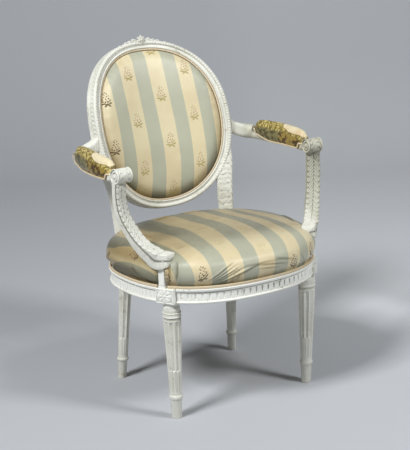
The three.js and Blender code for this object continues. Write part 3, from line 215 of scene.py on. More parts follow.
# A sprig's leaves and blossoms in millimetres about its middle: x, y, half length, half width, degrees.
LEAVES = (
    (-8.5, -9.5, 7.0, 2.7, -10), (8.5, -8.5, 7.0, 2.6, 20), (-5.0, -14.5, 5.6, 2.3, 32),
    (5.5, -15.0, 5.8, 2.3, -30), (0.0, -11.5, 3.6, 3.0, 0), (-10.0, -2.5, 3.2, 1.7, -50),
    (9.5, -1.0, 3.4, 1.8, 45), (1.0, -3.0, 1.1, 6.5, 8), (-4.5, 18.0, 2.8, 1.4, 35))
BLOSSOMS = (
    (-4.5, -4.5, 2.6, 2.3, 0), (4.5, -3.5, 2.5, 2.3, 0), (-9.0, 3.0, 2.1, 1.9, 0),
    (-1.0, 3.5, 2.3, 2.1, 0), (6.5, 4.0, 2.2, 2.2, 0), (-5.5, 9.0, 2.1, 2.0, 0),
    (2.5, 10.0, 2.1, 1.9, 0), (8.5, 11.0, 1.9, 1.9, 0), (-2.0, 15.0, 1.9, 1.9, 0),
    (5.0, 17.0, 1.9, 1.8, 0), (0.5, 21.0, 1.7, 1.8, 0))


def ovals(f, x, y, rows):
    """The highest of the marks of some ovals. An oval's mark is one minus the squared distance
    over its half sizes, in its own turned axes."""
    total = None
    for middle_x, middle_y, half_long, half_wide, degrees in rows:
        c, s = math.cos(math.radians(degrees)), math.sin(math.radians(degrees))
        dx, dy = x - middle_x, y - middle_y
        along = (dx * c + dy * s) / half_long
        aside = (dy * c - dx * s) / half_wide
        oval = f.ease(1.0 - (along * along + aside * aside), 0.0, 0.5)
        total = f.math("MAXIMUM", total, oval) if total else oval
    return total


def striped_silk():
    """Satin stripes in cream and grey-green with small sprigs up the cream ones. Dirt and painted shade
    turn the cloth to a brownish gold. The sprigs are olive and rose, those low down and on the seat's left
    are dark brown, and two places ahead have them worn faint."""
    f = Finish("striped_silk", (0.74, 0.70, 0.55))
    across, along, _ = f.axes(f.cloth())
    place = f.place()
    part_x, _, part_z = f.axes(place)
    cloud, drift, thread = f.noise(place, 9.0, 3.0), f.noise(place, 55.0, 2.0), f.threads(place)
    # Dirt and painted shade from the pieces' attribute, stirred by noise; below it turns both stripes darker.
    dirt_and_shade = f.ease(f.dirt_and_shade() + (cloud - 0.5) * 0.25 + (drift - 0.5) * 0.12, 0.0, 1.0)

    stripes = (across - STRIPE_START) / STRIPE_PITCH
    column = f.math("FLOOR", stripes)
    half = CREAM_SHARE / 2
    aside = stripes - column - half
    cream = f.ease(f.math("ABSOLUTE", aside), half - 0.01, half + 0.01, 1.0, 0.0)
    cream_tone = f.blend(f.ease(cloud, 0.35, 0.7), (229, 216, 178), (222, 206, 168))
    grey_tone = f.blend(f.ease(cloud, 0.3, 0.7), (190, 190, 168), (183, 184, 163))
    stripe = f.blend(cream, f.blend(dirt_and_shade, grey_tone, (92, 86, 60)), f.blend(dirt_and_shade, cream_tone, (144, 124, 80)))
    rib = f.ease(f.math("SINE", across * 5200.0), -1.0, 1.0)
    ground = f.blend(rib * 0.05, stripe, (150, 146, 120))

    odd = f.math("PINGPONG", column, 1.0)
    up = f.math("WRAP", along - odd * (SPRIG_PITCH / 2), SPRIG_PITCH / 2, -SPRIG_PITCH / 2)
    x = aside * (STRIPE_PITCH * 1000) + (f.noise(place, 150.0, 1.0) - 0.5) * 5.0
    y = up * 1000.0 + (f.noise(place, 130.0, 1.0) - 0.5) * 5.0
    leaves, blossoms = ovals(f, x, y, LEAVES), ovals(f, x, y, BLOSSOMS)
    low = f.ease(part_z, 0.395, 0.418, 1.0, 0.0)
    dark = f.math("MAXIMUM", low, f.ease(part_x, -0.15, -0.11, 1.0, 0.0))
    edge = f.ease(part_z, 0.4, 0.425) * f.ease(part_z, 0.446, 0.46, 1.0, 0.0) * f.ease(part_x, -0.23, -0.19)
    middle = f.ease(f.math("ABSOLUTE", part_x + 0.055), 0.03, 0.06, 1.0, 0.0) * low
    worn = f.math("MAXIMUM", edge * 0.78, middle * 0.6)
    shown = (1.0 - worn) * f.ease(dark, 0.0, 1.0, 0.8, 1.0) * cream
    leafy = f.blend(leaves * shown * f.ease(thread, 0.2, 0.6, 0.65, 1.0), ground,
                    f.blend(dark, (158, 142, 68), (88, 70, 32)))
    colour = f.blend(blossoms * shown * f.ease(thread, 0.2, 0.6, 0.6, 1.0), leafy,
                     f.blend(dark, (168, 126, 92), (98, 58, 34)))
    raised = (leaves + blossoms) * cream
    return f.dress(Base_Color=colour,
                   Roughness=f.ease(raised + drift * 0.5, 0.2, 1.2, 0.36, 0.62),
                   Normal=f.bump(rib * 0.25 + thread * 0.35 + raised * 1.2, 0.0005, 0.55),
                   Sheen_Weight=0.2, Sheen_Roughness=0.4, Specular_IOR_Level=0.5)


def pad_silk():
    """The same silk cut across the arm: olive and gold brocade behind, a cream oval in front with
    dark outlines, and darker cloth low on the sides."""
    f = Finish("pad_silk", (0.56, 0.50, 0.26))
    across, along, _ = f.axes(f.cloth())
    place = f.place()
    drift, thread = f.noise(place, 45.0, 2.0), f.threads(place)
    swirl, spots = f.noise(place, 42.0, 1.0, 0.4), f.noise(place, 95.0, 2.0, 0.5)
    x, y = across * 1000.0, along * 1000.0
    sway = (drift - 0.5) * 14.0
    curls = f.ease(f.math("SINE", swirl * 34.0 + y * 0.06), -0.1, 0.6)
    rear = f.blend(curls, (130, 114, 50), (202, 182, 112))
    rear = f.blend(f.ease(spots, 0.55, 0.62) * 0.7, rear, (108, 90, 36))
    low = f.ease(f.math("ABSOLUTE", x) + sway * 0.4, 24.0, 31.0)
    band = f.ease(y + sway, 0.0, 16.0, 1.0, 0.0)
    low_tone = f.blend(f.ease(spots, 0.46, 0.56), f.blend(band, (150, 126, 58), (122, 116, 78)),
                       f.blend(band, (74, 54, 24), (80, 72, 42)))
    oval_x, oval_y = (x + sway * 0.4) / 23.5, (y - 57.0 + sway) / 47.0
    outward = oval_x * oval_x + oval_y * oval_y
    oval = f.ease(outward, 0.9, 1.04, 1.0, 0.0)
    rim = f.ease(f.math("ABSOLUTE", outward - 1.08), 0.0, 0.14, 1.0, 0.0)
    cream = f.blend(f.ease(f.noise(place, 30.0), 0.4, 0.6), (226, 212, 176), (214, 192, 152))
    cloth = f.blend(oval, f.blend(low, rear, low_tone), cream)
    return f.dress(Base_Color=f.blend(rim * 0.7, cloth, (110, 88, 40)),
                   Roughness=f.ease(thread, 0.2, 0.8, 0.34, 0.55),
                   Normal=f.bump(thread * 0.4 + curls * 0.5 + spots * 0.3, 0.0008, 0.6),
                   Sheen_Weight=0.2, Sheen_Roughness=0.4)


def gimp_braid():
    """Woven braid: small slanting loops along its length, in peach and cream."""
    f = Finish("gimp_braid", (0.8, 0.7, 0.56))
    across, along, _ = f.axes(f.cloth())
    place = f.place()
    lift = f.ease(f.math("SINE", along * 1900.0 + f.math("ABSOLUTE", across) * 1500.0), -0.8, 0.9)
    grain = f.noise(place, 700.0, 2.0)
    tone = f.blend(f.ease(f.noise(place, 22.0), 0.35, 0.65), (240, 227, 200), (230, 212, 180))
    return f.dress(Base_Color=f.blend(lift * 0.7 + grain * 0.3, (204, 180, 142), tone), Roughness=0.7,
                   Normal=f.bump(lift * 0.8 + grain * 0.3, 0.0007, 0.7))


def woven(name, warm, dark, pitch, rough):
    """Plain woven cloth: threads over and under each other at a pitch in metres."""
    f = Finish(name, tuple(v / 300 for v in warm))
    place = f.place()
    x, y, z = f.axes(place)
    turns = 2 * math.pi / pitch
    weave = f.math("SINE", x * turns) * f.math("SINE", (y + z * 0.5) * turns)
    amount = f.ease(weave * 0.5 + f.noise(place, 300.0, 4.0), 0.1, 0.95)
    patch = f.ease(f.noise(place, 30.0, 3.0), 0.4, 0.7)
    return f.dress(Base_Color=f.blend(patch * 0.3, f.blend(amount, dark, warm), dark), Roughness=rough,
                   Normal=f.bump(amount, 0.0006, 0.7))


def bare_beech():
    """Bare beech with fine grain streaks along X and short flecks."""
    f = Finish("bare_beech", (0.6, 0.45, 0.28))
    place = f.place()
    grain = f.noise(f.stretch(place, 30.0, 240.0, 240.0), 1.0, 5.0)
    fleck = f.noise(f.stretch(place, 160.0, 900.0, 900.0), 1.0, 2.0)
    tone = f.blend(f.ease(grain, 0.3, 0.7), (186, 148, 104), (160, 122, 82))
    return f.dress(Base_Color=f.blend(f.ease(fleck, 0.6, 0.75) * 0.5, tone, (124, 88, 56)), Roughness=0.62,
                   Normal=f.bump(grain, 0.0004, 0.4))


LOOKS = {
    "painted_wood": painted_wood(),
    "striped_silk": striped_silk(),
    "pad_silk": pad_silk(),
    "gimp_braid": gimp_braid(),
    "hessian": woven("hessian", (176, 150, 108), (112, 88, 58), 0.0026, 0.9),
    "webbing": woven("webbing", (196, 184, 152), (140, 124, 92), 0.0034, 0.85),
    "horsehair": woven("horsehair", (62, 50, 42), (28, 22, 18), 0.0021, 0.95),
    "bare_beech": bare_beech(),
}


# ---- meshes ----

class Body:
    """The points and faces of one piece, gathered from grids, in millimetres."""

    def __init__(self):
        self.points, self.faces, self.dirt_and_shade, self.cloth, self.count = [], [], [], [], 0

    def grid(self, points, wrap_rows=False, wrap_columns=True, caps=False, dirt_and_shade=0.0, cloth=None):
        """Quads between neighbouring points of a grid of rows and columns. Caps close both ends
        with one face each. Each point's dirt and painted shade is from 0 to 1, and its cloth is in metres."""
        rows, columns = points.shape[:2]
        index = np.arange(rows * columns).reshape(rows, columns) + self.count
        down = np.roll(index, -1, 0) if wrap_rows else index[1:]
        here = index if wrap_rows else index[:-1]
        if wrap_columns:
            right, cross = np.roll(here, -1, 1), np.roll(down, -1, 1)
        else:
            right, cross = here[:, 1:], down[:, 1:]
            here, down = here[:, :-1], down[:, :-1]
        self.faces += np.stack([here, right, cross, down], -1).reshape(-1, 4).tolist()
        if caps:
            self.faces += [index[0][::-1].tolist(), index[-1].tolist()]
        self.points.append(points.reshape(-1, 3))
        self.dirt_and_shade.append(np.broadcast_to(np.clip(dirt_and_shade, 0, 1), (rows, columns)).ravel())
        self.cloth.append(np.zeros((index.size, 2)) if cloth is None else cloth.reshape(-1, 2))
        self.count += index.size
        return self

    def join(self, other):
        """Takes in the points and faces of another body."""
        self.faces += [[i + self.count for i in face] for face in other.faces]
        self.points += other.points
        self.dirt_and_shade += other.dirt_and_shade
        self.cloth += other.cloth
        self.count += other.count
        return self

    def mirrored(self):
        """The same body for the chair's other side."""
        twin = Body()
        twin.points = [p * (-1, 1, 1) for p in self.points]
        twin.faces = [face[::-1] for face in self.faces]
        twin.dirt_and_shade, twin.cloth, twin.count = list(self.dirt_and_shade), list(self.cloth), self.count
        return twin

    def make(self, name, slot, nodes, sharp=38):
        """The finished piece in place of some CAD nodes: points put in the chair's frame in
        metres, faces turned outwards, dirt and painted shade and cloth stored, smooth but for edges
        sharper than an angle."""
        points = (np.concatenate(self.points) + (0, SHIFT_Y, 0)) / 1000
        mesh = bpy.data.meshes.new(name)
        mesh.from_pydata(points.tolist(), [], self.faces)
        shell = bmesh.new()
        shell.from_mesh(mesh)
        bmesh.ops.recalc_face_normals(shell, faces=shell.faces)
        shell.to_mesh(mesh)
        shell.free()
        mesh.polygons.foreach_set("use_smooth", np.ones(len(mesh.polygons), bool))
        mesh.set_sharp_from_angle(angle=math.radians(sharp))
        # Each point's dirt and painted shade, read by the materials.
        dirt_and_shade = mesh.attributes.new("dirt_and_shade", "FLOAT", "POINT")
        dirt_and_shade.data.foreach_set("value", np.concatenate(self.dirt_and_shade).astype(np.float32))
        corner = np.empty(len(mesh.loops), np.int32)
        mesh.loops.foreach_get("vertex_index", corner)
        layer = mesh.uv_layers.new(name="cloth")
        layer.data.foreach_set("uv", np.concatenate(self.cloth)[corner].astype(np.float32).ravel())
        mesh.materials.append(LOOKS[slot])
        piece = bpy.data.objects.new(name, mesh)
        bpy.context.scene.collection.objects.link(piece)
        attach(piece, "root")
        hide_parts(*nodes)
        return piece


def pair(name, body, slot, node, sharp=38):
    """A piece and its twin for the other side, each in place of its side's CAD node."""
    return [half.make(f"{name}_{side}", slot, [f"{node}_{side}"], sharp)
            for side, half in (("left", body), ("right", body.mirrored()))]


def mix(a, b, share):
    """The value that lies between two at a share of the way."""
    return a + (b - a) * share


def ease(value, low, high):
    """0 below low, 1 above high and a smooth S between them."""
    t = np.clip((value - low) / (high - low), 0, 1)
    return t * t * (3 - 2 * t)


def bell(value, middle, width):
    """A bell curve: 1 at its middle, 0.37 a width away."""
    return np.exp(-((value - middle) / width) ** 2)


def dome(value):
    """A half circle: 1 at 0, and 0 from 1 outwards."""
    return np.sqrt(np.clip(1 - value ** 2, 0, 1))


def waves(value):
    """Humps of a sine: 0 at each whole number and 1 half way between them."""
    return np.abs(np.sin(math.pi * value))


def unit(vector):
    """Vectors brought to a length of 1."""
    return vector / np.linalg.norm(vector, axis=-1, keepdims=True)


def full_turn(count):
    """Angles that stand evenly round a circle."""
    return np.linspace(0, 2 * math.pi, count, endpoint=False)


def at_height(plan, z):
    """Plan places, or directions, with their height added."""
    return np.concatenate([plan, np.broadcast_to(z, plan.shape[:-1])[..., None]], -1)


def arc_length(points):
    """The length along a line of points, at each of them."""
    steps = np.linalg.norm(np.diff(points, axis=0), axis=-1)
    return np.concatenate([[0], np.cumsum(steps)])


def resampled(places, points, at):
    """Points of a line given at some places, read off at other places."""
    return np.stack([np.interp(at, places, column) for column in points.T], -1)


def smooth_run(points, count):
    """Points along a smooth curve through the given ones: between two of them each coordinate is
    the cubic whose slopes are half the distance between their neighbours."""
    points = np.asarray(points, float)
    padded = np.concatenate([[2 * points[0] - points[1]], points, [2 * points[-1] - points[-2]]])
    t = np.linspace(0, len(points) - 1, count)
    i = np.minimum(t.astype(int), len(points) - 2)
    s = (t - i)[:, None]
    a, b, c, d = (padded[i + k] for k in range(4))
    return 0.5 * (2 * b + (c - a) * s + (2 * a - 5 * b + 4 * c - d) * s ** 2
                  + (3 * b - a - 3 * c + d) * s ** 3)


def profile(start, moves):
    """A moulded outline. Each move goes straight to a point and adds a half-ellipse bulge of the
    given height to its left, hollow when negative."""
    points = [np.array(start, float)]
    for x, y, bulge in moves:
        a, b = points[-1], np.array([x, y], float)
        if bulge == 0:
            points.append(b)
            continue
        t = (1 - np.cos(np.linspace(0, math.pi, 8)[1:])) / 2
        left = np.array([-(b - a)[1], (b - a)[0]]) / np.linalg.norm(b - a)
        points += list(a + (b - a) * t[:, None] + left * (bulge * dome(2 * t - 1))[:, None])
    return np.array(points)


def swept(section, origin, across, up):
    """A section carried along a path: each point is the path's place plus the section's X times
    the across direction plus its Y times the up direction."""
    across, up = (np.broadcast_to(way, origin.shape)[:, None] for way in (across, up))
    section = np.broadcast_to(section, (len(origin),) + section.shape[-2:])
    return origin[:, None] + section[..., :1] * across + section[..., 1:2] * up


def rounded(width, height, radius, steps):
    """A rectangle with round corners, as a closed outline."""
    corners = []
    for sx, sy, start in ((1, 1, 0), (-1, 1, 90), (-1, -1, 180), (1, -1, 270)):
        angle = np.radians(np.linspace(start, start + 90, steps))
        corners.append(np.stack([sx * (width / 2 - radius) + radius * np.cos(angle),
                                 sy * (height / 2 - radius) + radius * np.sin(angle)], -1))
    return np.concatenate(corners)


def refined(outline, count):
    """A closed outline with more points, spread evenly over the ones it has."""
    closed = np.concatenate([outline, outline[:1]])
    return resampled(np.arange(len(closed)), closed, np.linspace(0, len(outline), count, endpoint=False))


def square_to(x, y, half_x, half_y, power):
    """Direction square to the oval |x/a|^p + |y/b|^p = 1 at a place on it, from its slope."""
    return unit(np.stack([np.sign(part) * np.abs(part / half) ** (power - 1) / half
                          for part, half in ((x, half_x), (y, half_y))], -1))


# ---- seat oval and rails ----

def seat_place(angle, inset=0.0):
    """Plan place on the seat's oval: the radius is (|sin/width|^p + |cos/reach|^p)^(-1/p), with
    the front's or the back's reach."""
    reach = np.where(np.cos(angle) > 0, SEAT_FRONT, SEAT_BACK) - inset
    term = (np.abs(np.sin(angle) / (SEAT_HALF_WIDTH - inset)) ** SEAT_POWER
            + np.abs(np.cos(angle) / reach) ** SEAT_POWER)
    radius = term ** (-1 / SEAT_POWER)
    return np.stack([radius * np.sin(angle), SEAT_CENTRE_Y - radius * np.cos(angle)], -1)


def seat_outward(angle):
    """Direction square to the seat's oval."""
    place = seat_place(angle)
    reach = np.where(np.cos(angle) > 0, SEAT_FRONT, SEAT_BACK)
    return square_to(place[..., 0], place[..., 1] - SEAT_CENTRE_Y, SEAT_HALF_WIDTH, reach, SEAT_POWER)


def post(angle, inset, turn, size, beside):
    """A leg's post: its axis, its block's middle, and the block's outward and sideways directions."""
    axis = seat_place(angle) - seat_outward(angle) * inset
    out = np.array([math.sin(turn), -math.cos(turn)])
    along = np.array([math.cos(turn), math.sin(turn)])
    return {"axis": axis, "centre": axis + along * beside, "out": out, "along": along, "size": size}


REAR_OUT = seat_outward(REAR_ANGLE)
FRONT_POST = post(FRONT_ANGLE, 15.5, FRONT_TURN, 50.0, 4.0)
REAR_POST = post(REAR_ANGLE, 16.5, math.atan2(REAR_OUT[0], -REAR_OUT[1]), 42.0, 0.0)


def rail_angles(low, high, count):
    """Angles that stand evenly along the oval between two angles."""
    fine = np.linspace(low, high, 4000)
    run = arc_length(seat_place(fine))
    return np.interp(np.linspace(0, run[-1], count), run, fine)


def rail_section():
    """The rails' moulded outline: X out of the seat's oval and Z. Its frieze has closer points."""
    return np.concatenate([
        profile((-28, 307), [(0.2, 307, 0), (1.2, 308, 0), (1.2, 312.6, -1.6), (-0.4, 313.4, 0),
                             (-1.0, 315, 0)]),
        profile((-1.0, 315.4), [(-1.0, z, 0) for z in np.linspace(316, 332.6, 14)]),
        profile((-1.0, 333.2), [(-3.0, 334, 0), (-3.0, 336.2, 0), (0.2, 336.8, 0), (1.4, 338, 0),
                                (3.6, 341, -0.8), (3.9, 344.2, -0.6), (3.2, 345, 0), (-11, 345, 0),
                                (-11, 337, 0), (-28, 337, 0)])])


def rail(low, high, pitch, leafy):
    """A seat rail: its moulded section carried round the oval. In its frieze the face sinks by a
    row of upright cuts, each a bell across that narrows to a point at its foot; on the sides by
    slanting leaves."""
    count = int(arc_length(seat_place(np.linspace(low, high, 500)))[-1] / 0.9)
    angles = rail_angles(low, high, count)
    place, out = seat_place(angles), seat_outward(angles)
    run = arc_length(place)
    run = (run - run[-1] / 2)[:, None]
    section = rail_section()
    x = np.broadcast_to(section[:, 0], (count, len(section))).copy()
    z = np.broadcast_to(section[:, 1], x.shape)
    rise = np.clip((z - 315.8) / 16.6, 0, 1)
    frieze = np.clip(1 - (2 * rise - 1) ** 8, 0, 1) * (np.abs(x + 1.0) < 0.01)
    step = run / pitch
    if leafy:
        leaf = waves(step + np.abs((z - 324) / 17) * 0.35) ** 0.6
        sink = (1.6 - 1.5 * leaf + 0.3 * np.sin(step * 6 * math.pi + z)) * frieze
        # Dirt and painted shade in the leaf cuts.
        dirt_and_shade = (1 - leaf) * frieze * 0.55
    else:
        phase = (step + 0.5) % 1 - 0.5
        half = 0.05 + 0.13 * rise ** 0.7
        cup = np.clip(1 - (phase / half) ** 2, 0, 1) ** 0.6 * frieze * ease(rise, 0.02, 0.2)
        cheek = 0.5 * bell(np.abs(phase), 0.36, 0.09) * frieze
        sink = 2.3 * cup - cheek * 0.7
        # Dirt and painted shade in the cups, stronger towards the +X end as painted shade.
        dirt_and_shade = cup * mix(0.3, 0.95, ease(run, -160, 40)) + cheek * 0.1
    x -= sink + np.where((z > 341) & (x - sink > 2), 0.18 * np.abs(np.sin(run * 0.9)), 0)
    # Painted shade in the seams of the moulding.
    seams = bell(z, 335.1, 1.3) * 0.8 + bell(z, 314.2, 1.0) * 0.5
    points = at_height(place[:, None] + out[:, None] * x[..., None], z)
    return Body().grid(points, caps=True, dirt_and_shade=dirt_and_shade + seams)


def make_rails():
    """The four rails, each from one post's side to the next."""
    front, rear = FRONT_ANGLE, REAR_ANGLE
    past_front, past_rear = math.radians(4.6), math.radians(4.2)
    rail(-front + past_front, front - past_front, 17.6, False).make(
        "front_rail_carved", "painted_wood", ["front_rail"])
    pair("side_rail_carved", rail(front + past_front, rear - past_rear, 13.0, True), "painted_wood", "side_rail")
    rail(rear + past_rear, 2 * math.pi - rear - past_rear, 400.0, False).make(
        "rear_rail_moulded", "painted_wood", ["rear_rail"])


# ---- legs ----

def lathe(radius, z, angle):
    """Points round an upright axis, at their radius and height."""
    return np.stack(np.broadcast_arrays(radius * np.cos(angle), radius * np.sin(angle), z), -1)


def fluted_shaft(top, bottom, wide, narrow, flutes, depth, fill_top):
    """The tapered shaft. Its radius falls straight from wide to narrow, less a half-round flute
    that repeats round it. The flutes end in half circles, and below a height each holds a rod."""
    z = np.concatenate([np.linspace(top, top - 12, 12), np.linspace(top - 14, fill_top + 6, 24),
                        np.linspace(fill_top + 5, fill_top - 5, 12),
                        np.linspace(fill_top - 7, bottom + 10, 10),
                        np.linspace(bottom + 9, bottom, 9)])[:, None]
    angle = full_turn(flutes * 14)
    radius = mix(narrow, wide, (z - bottom) / (top - bottom))
    half_share = 0.41
    side = ((angle * flutes / (2 * math.pi)) % 1 - 0.5) / half_share
    width = 2 * math.pi * radius / flutes * half_share
    ends = dome(1 - np.clip(np.minimum(top - 3 - z, z - bottom - 3) / width, 0, 1))
    inside = np.clip(ends ** 2 - side ** 2, 0, 1)
    filled = ease(fill_top - z, -3, 1)
    rod = depth * 0.95 * dome(side / 0.82) * filled
    r = radius - depth * np.sqrt(inside) + np.where(inside > 0, rod * ends, 0)
    # Dirt and painted shade down the flutes and beside their rods.
    dirt_and_shade = (np.clip((radius - r) / depth, 0, 1) ** 2 * 0.42
            + bell(np.abs(side), 0.86, 0.1) * 0.35 * filled * ends)
    return lathe(r, z, angle), dirt_and_shade


def stand(points, axis, foot_shift):
    """Stands a turned piece on its post. It leans, so that its foot moves and its top stays."""
    lean = (1 - points[..., 2:] / RAIL_LOW) * np.array(foot_shift)
    return np.concatenate([points[..., :2] + axis + lean, points[..., 2:]], -1)


def leg(post_of, foot_shift, t):
    """A turned leg: rings and hollows below the block, the fluted shaft, the ankle and the foot."""
    body = Body()

    def turned(outline, *seams):
        """Adds a lathe-turned solid, with dirt and painted shade about the heights of its seams."""
        r, z = outline[:, :1], outline[:, 1:]
        dirt_and_shade = sum(amount * bell(z, height, width) for height, width, amount in seams)
        body.grid(stand(lathe(r, z, full_turn(72)), post_of["axis"], foot_shift), dirt_and_shade=dirt_and_shade)

    under_torus = RAIL_LOW - t["torus"]
    under_cove = under_torus - t["cove"]
    under_collar = under_cove - t["collar"]
    top = under_collar - t["groove"]
    neck_r, waist, groove_r = t["neck"], t["waist"], t["groove_r"]
    turned(profile((0.1, RAIL_LOW + 6), [
        (neck_r, RAIL_LOW + 6, 0), (neck_r, RAIL_LOW, 0), (neck_r, under_torus, -t["torus_bulge"]),
        (waist + 1.2, under_torus - 1, 0), (waist + 1.6, under_cove + 1, 1.6), (waist + 2.6, under_cove, 0),
        (t["collar_r"], under_cove - 0.6, 0), (t["collar_r"], under_collar + 1, -1.7),
        (groove_r, under_collar, 0), (groove_r, top, 0.8), (groove_r, top - 4, 0), (0.1, top - 4, 0),
    ]), (top + t["groove"] * 0.5, 3, 0.6))

    ankle, foot_r, foot_top, ring_r = t["ankle"], t["foot"], t["foot_top"], t["ring"] - 2.2
    shaft, dirt_and_shade = fluted_shaft(top, ankle, t["shaft"], t["shaft_end"], t["flutes"], t["flute"], t["fill"])
    body.grid(stand(shaft, post_of["axis"], foot_shift), caps=True, dirt_and_shade=dirt_and_shade)
    ring = ankle - t["ring_h"]
    turned(profile((0.1, 0), [
        (foot_r - 0.8, 0, 0), (foot_r, 0.9, 0), (foot_top, ring - 2, 0), (foot_top + 0.8, ring, 0),
        (ring_r, ring + 1.5, 0), (ring_r, ankle - 3, -2.2), (foot_top + 0.5, ankle - 1.5, 0),
        (t["shaft_end"], ankle + 2, 0), (0.1, ankle + 2, 0),
    ]), (ring, 2, 0.5), (ankle, 2, 0.5))
    return body


FRONT_LEG = dict(neck=21, torus=12, torus_bulge=2.6, cove=14, waist=18, collar=12, collar_r=23.4,
                 groove=7, groove_r=20, shaft=22.3, shaft_end=15, ankle=66, ring=17.4, ring_h=16,
                 foot_top=14.6, foot=12.4, flutes=10, flute=2.9, fill=128)
REAR_LEG = dict(neck=16.5, torus=8, torus_bulge=1.6, cove=8, waist=14.4, collar=8, collar_r=17.4,
                groove=5, groove_r=16, shaft=17.9, shaft_end=12.8, ankle=62, ring=16, ring_h=12,
                foot_top=12.6, foot=11.4, flutes=8, flute=2.4, fill=116)


def block(post_of, rosette):
    """The block over a leg. Its outward face sinks to a square panel, out of which rises an
    eight-petalled rosette: height falls off the petal's middle line and its half length."""
    size, out = post_of["size"], post_of["out"]
    half, half_height = size / 2, 19
    aside, up = np.meshgrid(np.linspace(-half, half, 64), np.linspace(-half_height, half_height, 50))
    border = np.minimum(half - np.abs(aside), half_height - np.abs(up))
    height = -0.9 * (1 - ease(border, 0, 1.0))
    dirt_and_shade = 0.0
    if rosette:
        panel = ease(border, 2.4, 3.6)
        r, angle = np.hypot(aside, up), np.arctan2(up, aside)
        long = 8.4 + 2.2 * np.abs(np.cos(2 * angle))
        leaf = np.abs(np.cos(4 * angle)) ** 0.5 * dome((r - 9.5) / long)
        vein = bell(np.sin(4 * angle + math.pi / 2) * r, 0, 1.4) * (r > 5)
        boss = dome(r / 3.8) * (1 - 0.2 * np.cos(6 * angle))
        ring = bell(r, 4.6, 0.9)
        height += panel * (np.maximum(2.6 * leaf - 0.6 * vein, 3.4 * boss) - 0.8 * ring - 1.5)
        # Dirt and painted shade round the petals and the boss, in the veins and in the ring.
        dirt_and_shade = panel * (np.clip(1 - leaf * 1.6 - boss, 0, 1) * 0.4 + 0.25 * vein + 0.4 * ring)
    plan = post_of["centre"] + out * (half + height)[..., None] + post_of["along"] * aside[..., None]
    face = at_height(plan, up + (RAIL_LOW + half_height))
    body = Body().grid(face, wrap_columns=False, dirt_and_shade=dirt_and_shade)
    rim = np.concatenate([face[0], face[1:, -1], face[-1, -2::-1], face[-2:0:-1, 0]])
    body.grid(np.stack([rim, rim - np.append(out * (size - 0.9), 0)]))
    body.faces.append(list(range(body.count - len(rim), body.count)))
    return body


# ---- medallion back ----

def back_place(x, s, depth):
    """A place on the back board, which is bent to a parabola of radius BACK_HOLLOW across and
    leaned back: x across, s up the board and depth forward of it."""
    slope = x / BACK_HOLLOW
    norm = np.hypot(1, slope)
    forward = x * x / (2 * BACK_HOLLOW) + depth / norm
    sin, cos = math.sin(BACK_LEAN), math.cos(BACK_LEAN)
    return np.stack(np.broadcast_arrays(x - depth * slope / norm,
                                        BACK_CENTRE_Y + s * sin - forward * cos,
                                        BACK_CENTRE_Z + s * cos + forward * sin), -1)


def oval_place(angle, offset=0.0):
    """Place on the medallion's oval |x/a|^p + |y/b|^p = 1, moved out square to it by an offset."""
    c, s = np.cos(angle), np.sin(angle)
    x = BACK_HALF_WIDTH * np.sign(c) * np.abs(c) ** (2 / BACK_POWER)
    y = BACK_HALF_HEIGHT * np.sign(s) * np.abs(s) ** (2 / BACK_POWER)
    out = square_to(x, y, BACK_HALF_WIDTH, BACK_HALF_HEIGHT, BACK_POWER)
    return x + out[..., 0] * offset, y + out[..., 1] * offset


def frame_place(angle, offset, depth):
    """A place on the medallion's frame, by its oval's angle, the offset out of it and the depth."""
    return back_place(*oval_place(angle, offset), depth)


def oval_angles(low, high, step):
    """Angles that stand evenly along the medallion's oval, about a step in millimetres apart."""
    fine = np.linspace(low, high, 4000)
    run = arc_length(np.stack(oval_place(fine), -1))
    return np.interp(np.linspace(0, run[-1], int(run[-1] / step) + 2), run, fine)


def oval_run():
    """The oval's length from its foot against the angle, as a table for np.interp."""
    angles = oval_angles(-math.pi / 2, 3 * math.pi / 2, 0.5)
    turn = angles % (2 * math.pi)
    order = np.argsort(turn)
    return turn[order], arc_length(np.stack(oval_place(angles), -1))[order]


def medallion_section():
    """The outline of the medallion's frame: X out of the oval and Y forward. Its bead and its
    outer side have closer points."""
    return np.concatenate([
        profile((-12, -9), [(-0.3, -9, 0), (-0.3, 0.6, 0), (0.3, 1.0, 0)]),
        profile((0.5, 1.1), [(3.6, 1.1, 1.1), (4.4, 0.2, 0), (10.6, -0.9, -1.3), (11.3, 0.4, 0)]),
        np.stack([np.linspace(11.8, 18.2, 12), np.full(12, 0.6)], -1),
        np.stack([19.2 + 0.8 * np.sin(np.linspace(0, math.pi / 2, 4)), np.linspace(-0.6, -3, 4)], -1),
        np.stack([np.full(14, 20.0), np.linspace(-4, -20, 14)], -1),
        profile((20, -21), [(18.8, -22, 0), (18.8, -27, 0), (17.6, -28, 0), (-4, -28, 0), (-4, -23, 0),
                            (-12, -23, 0)])])


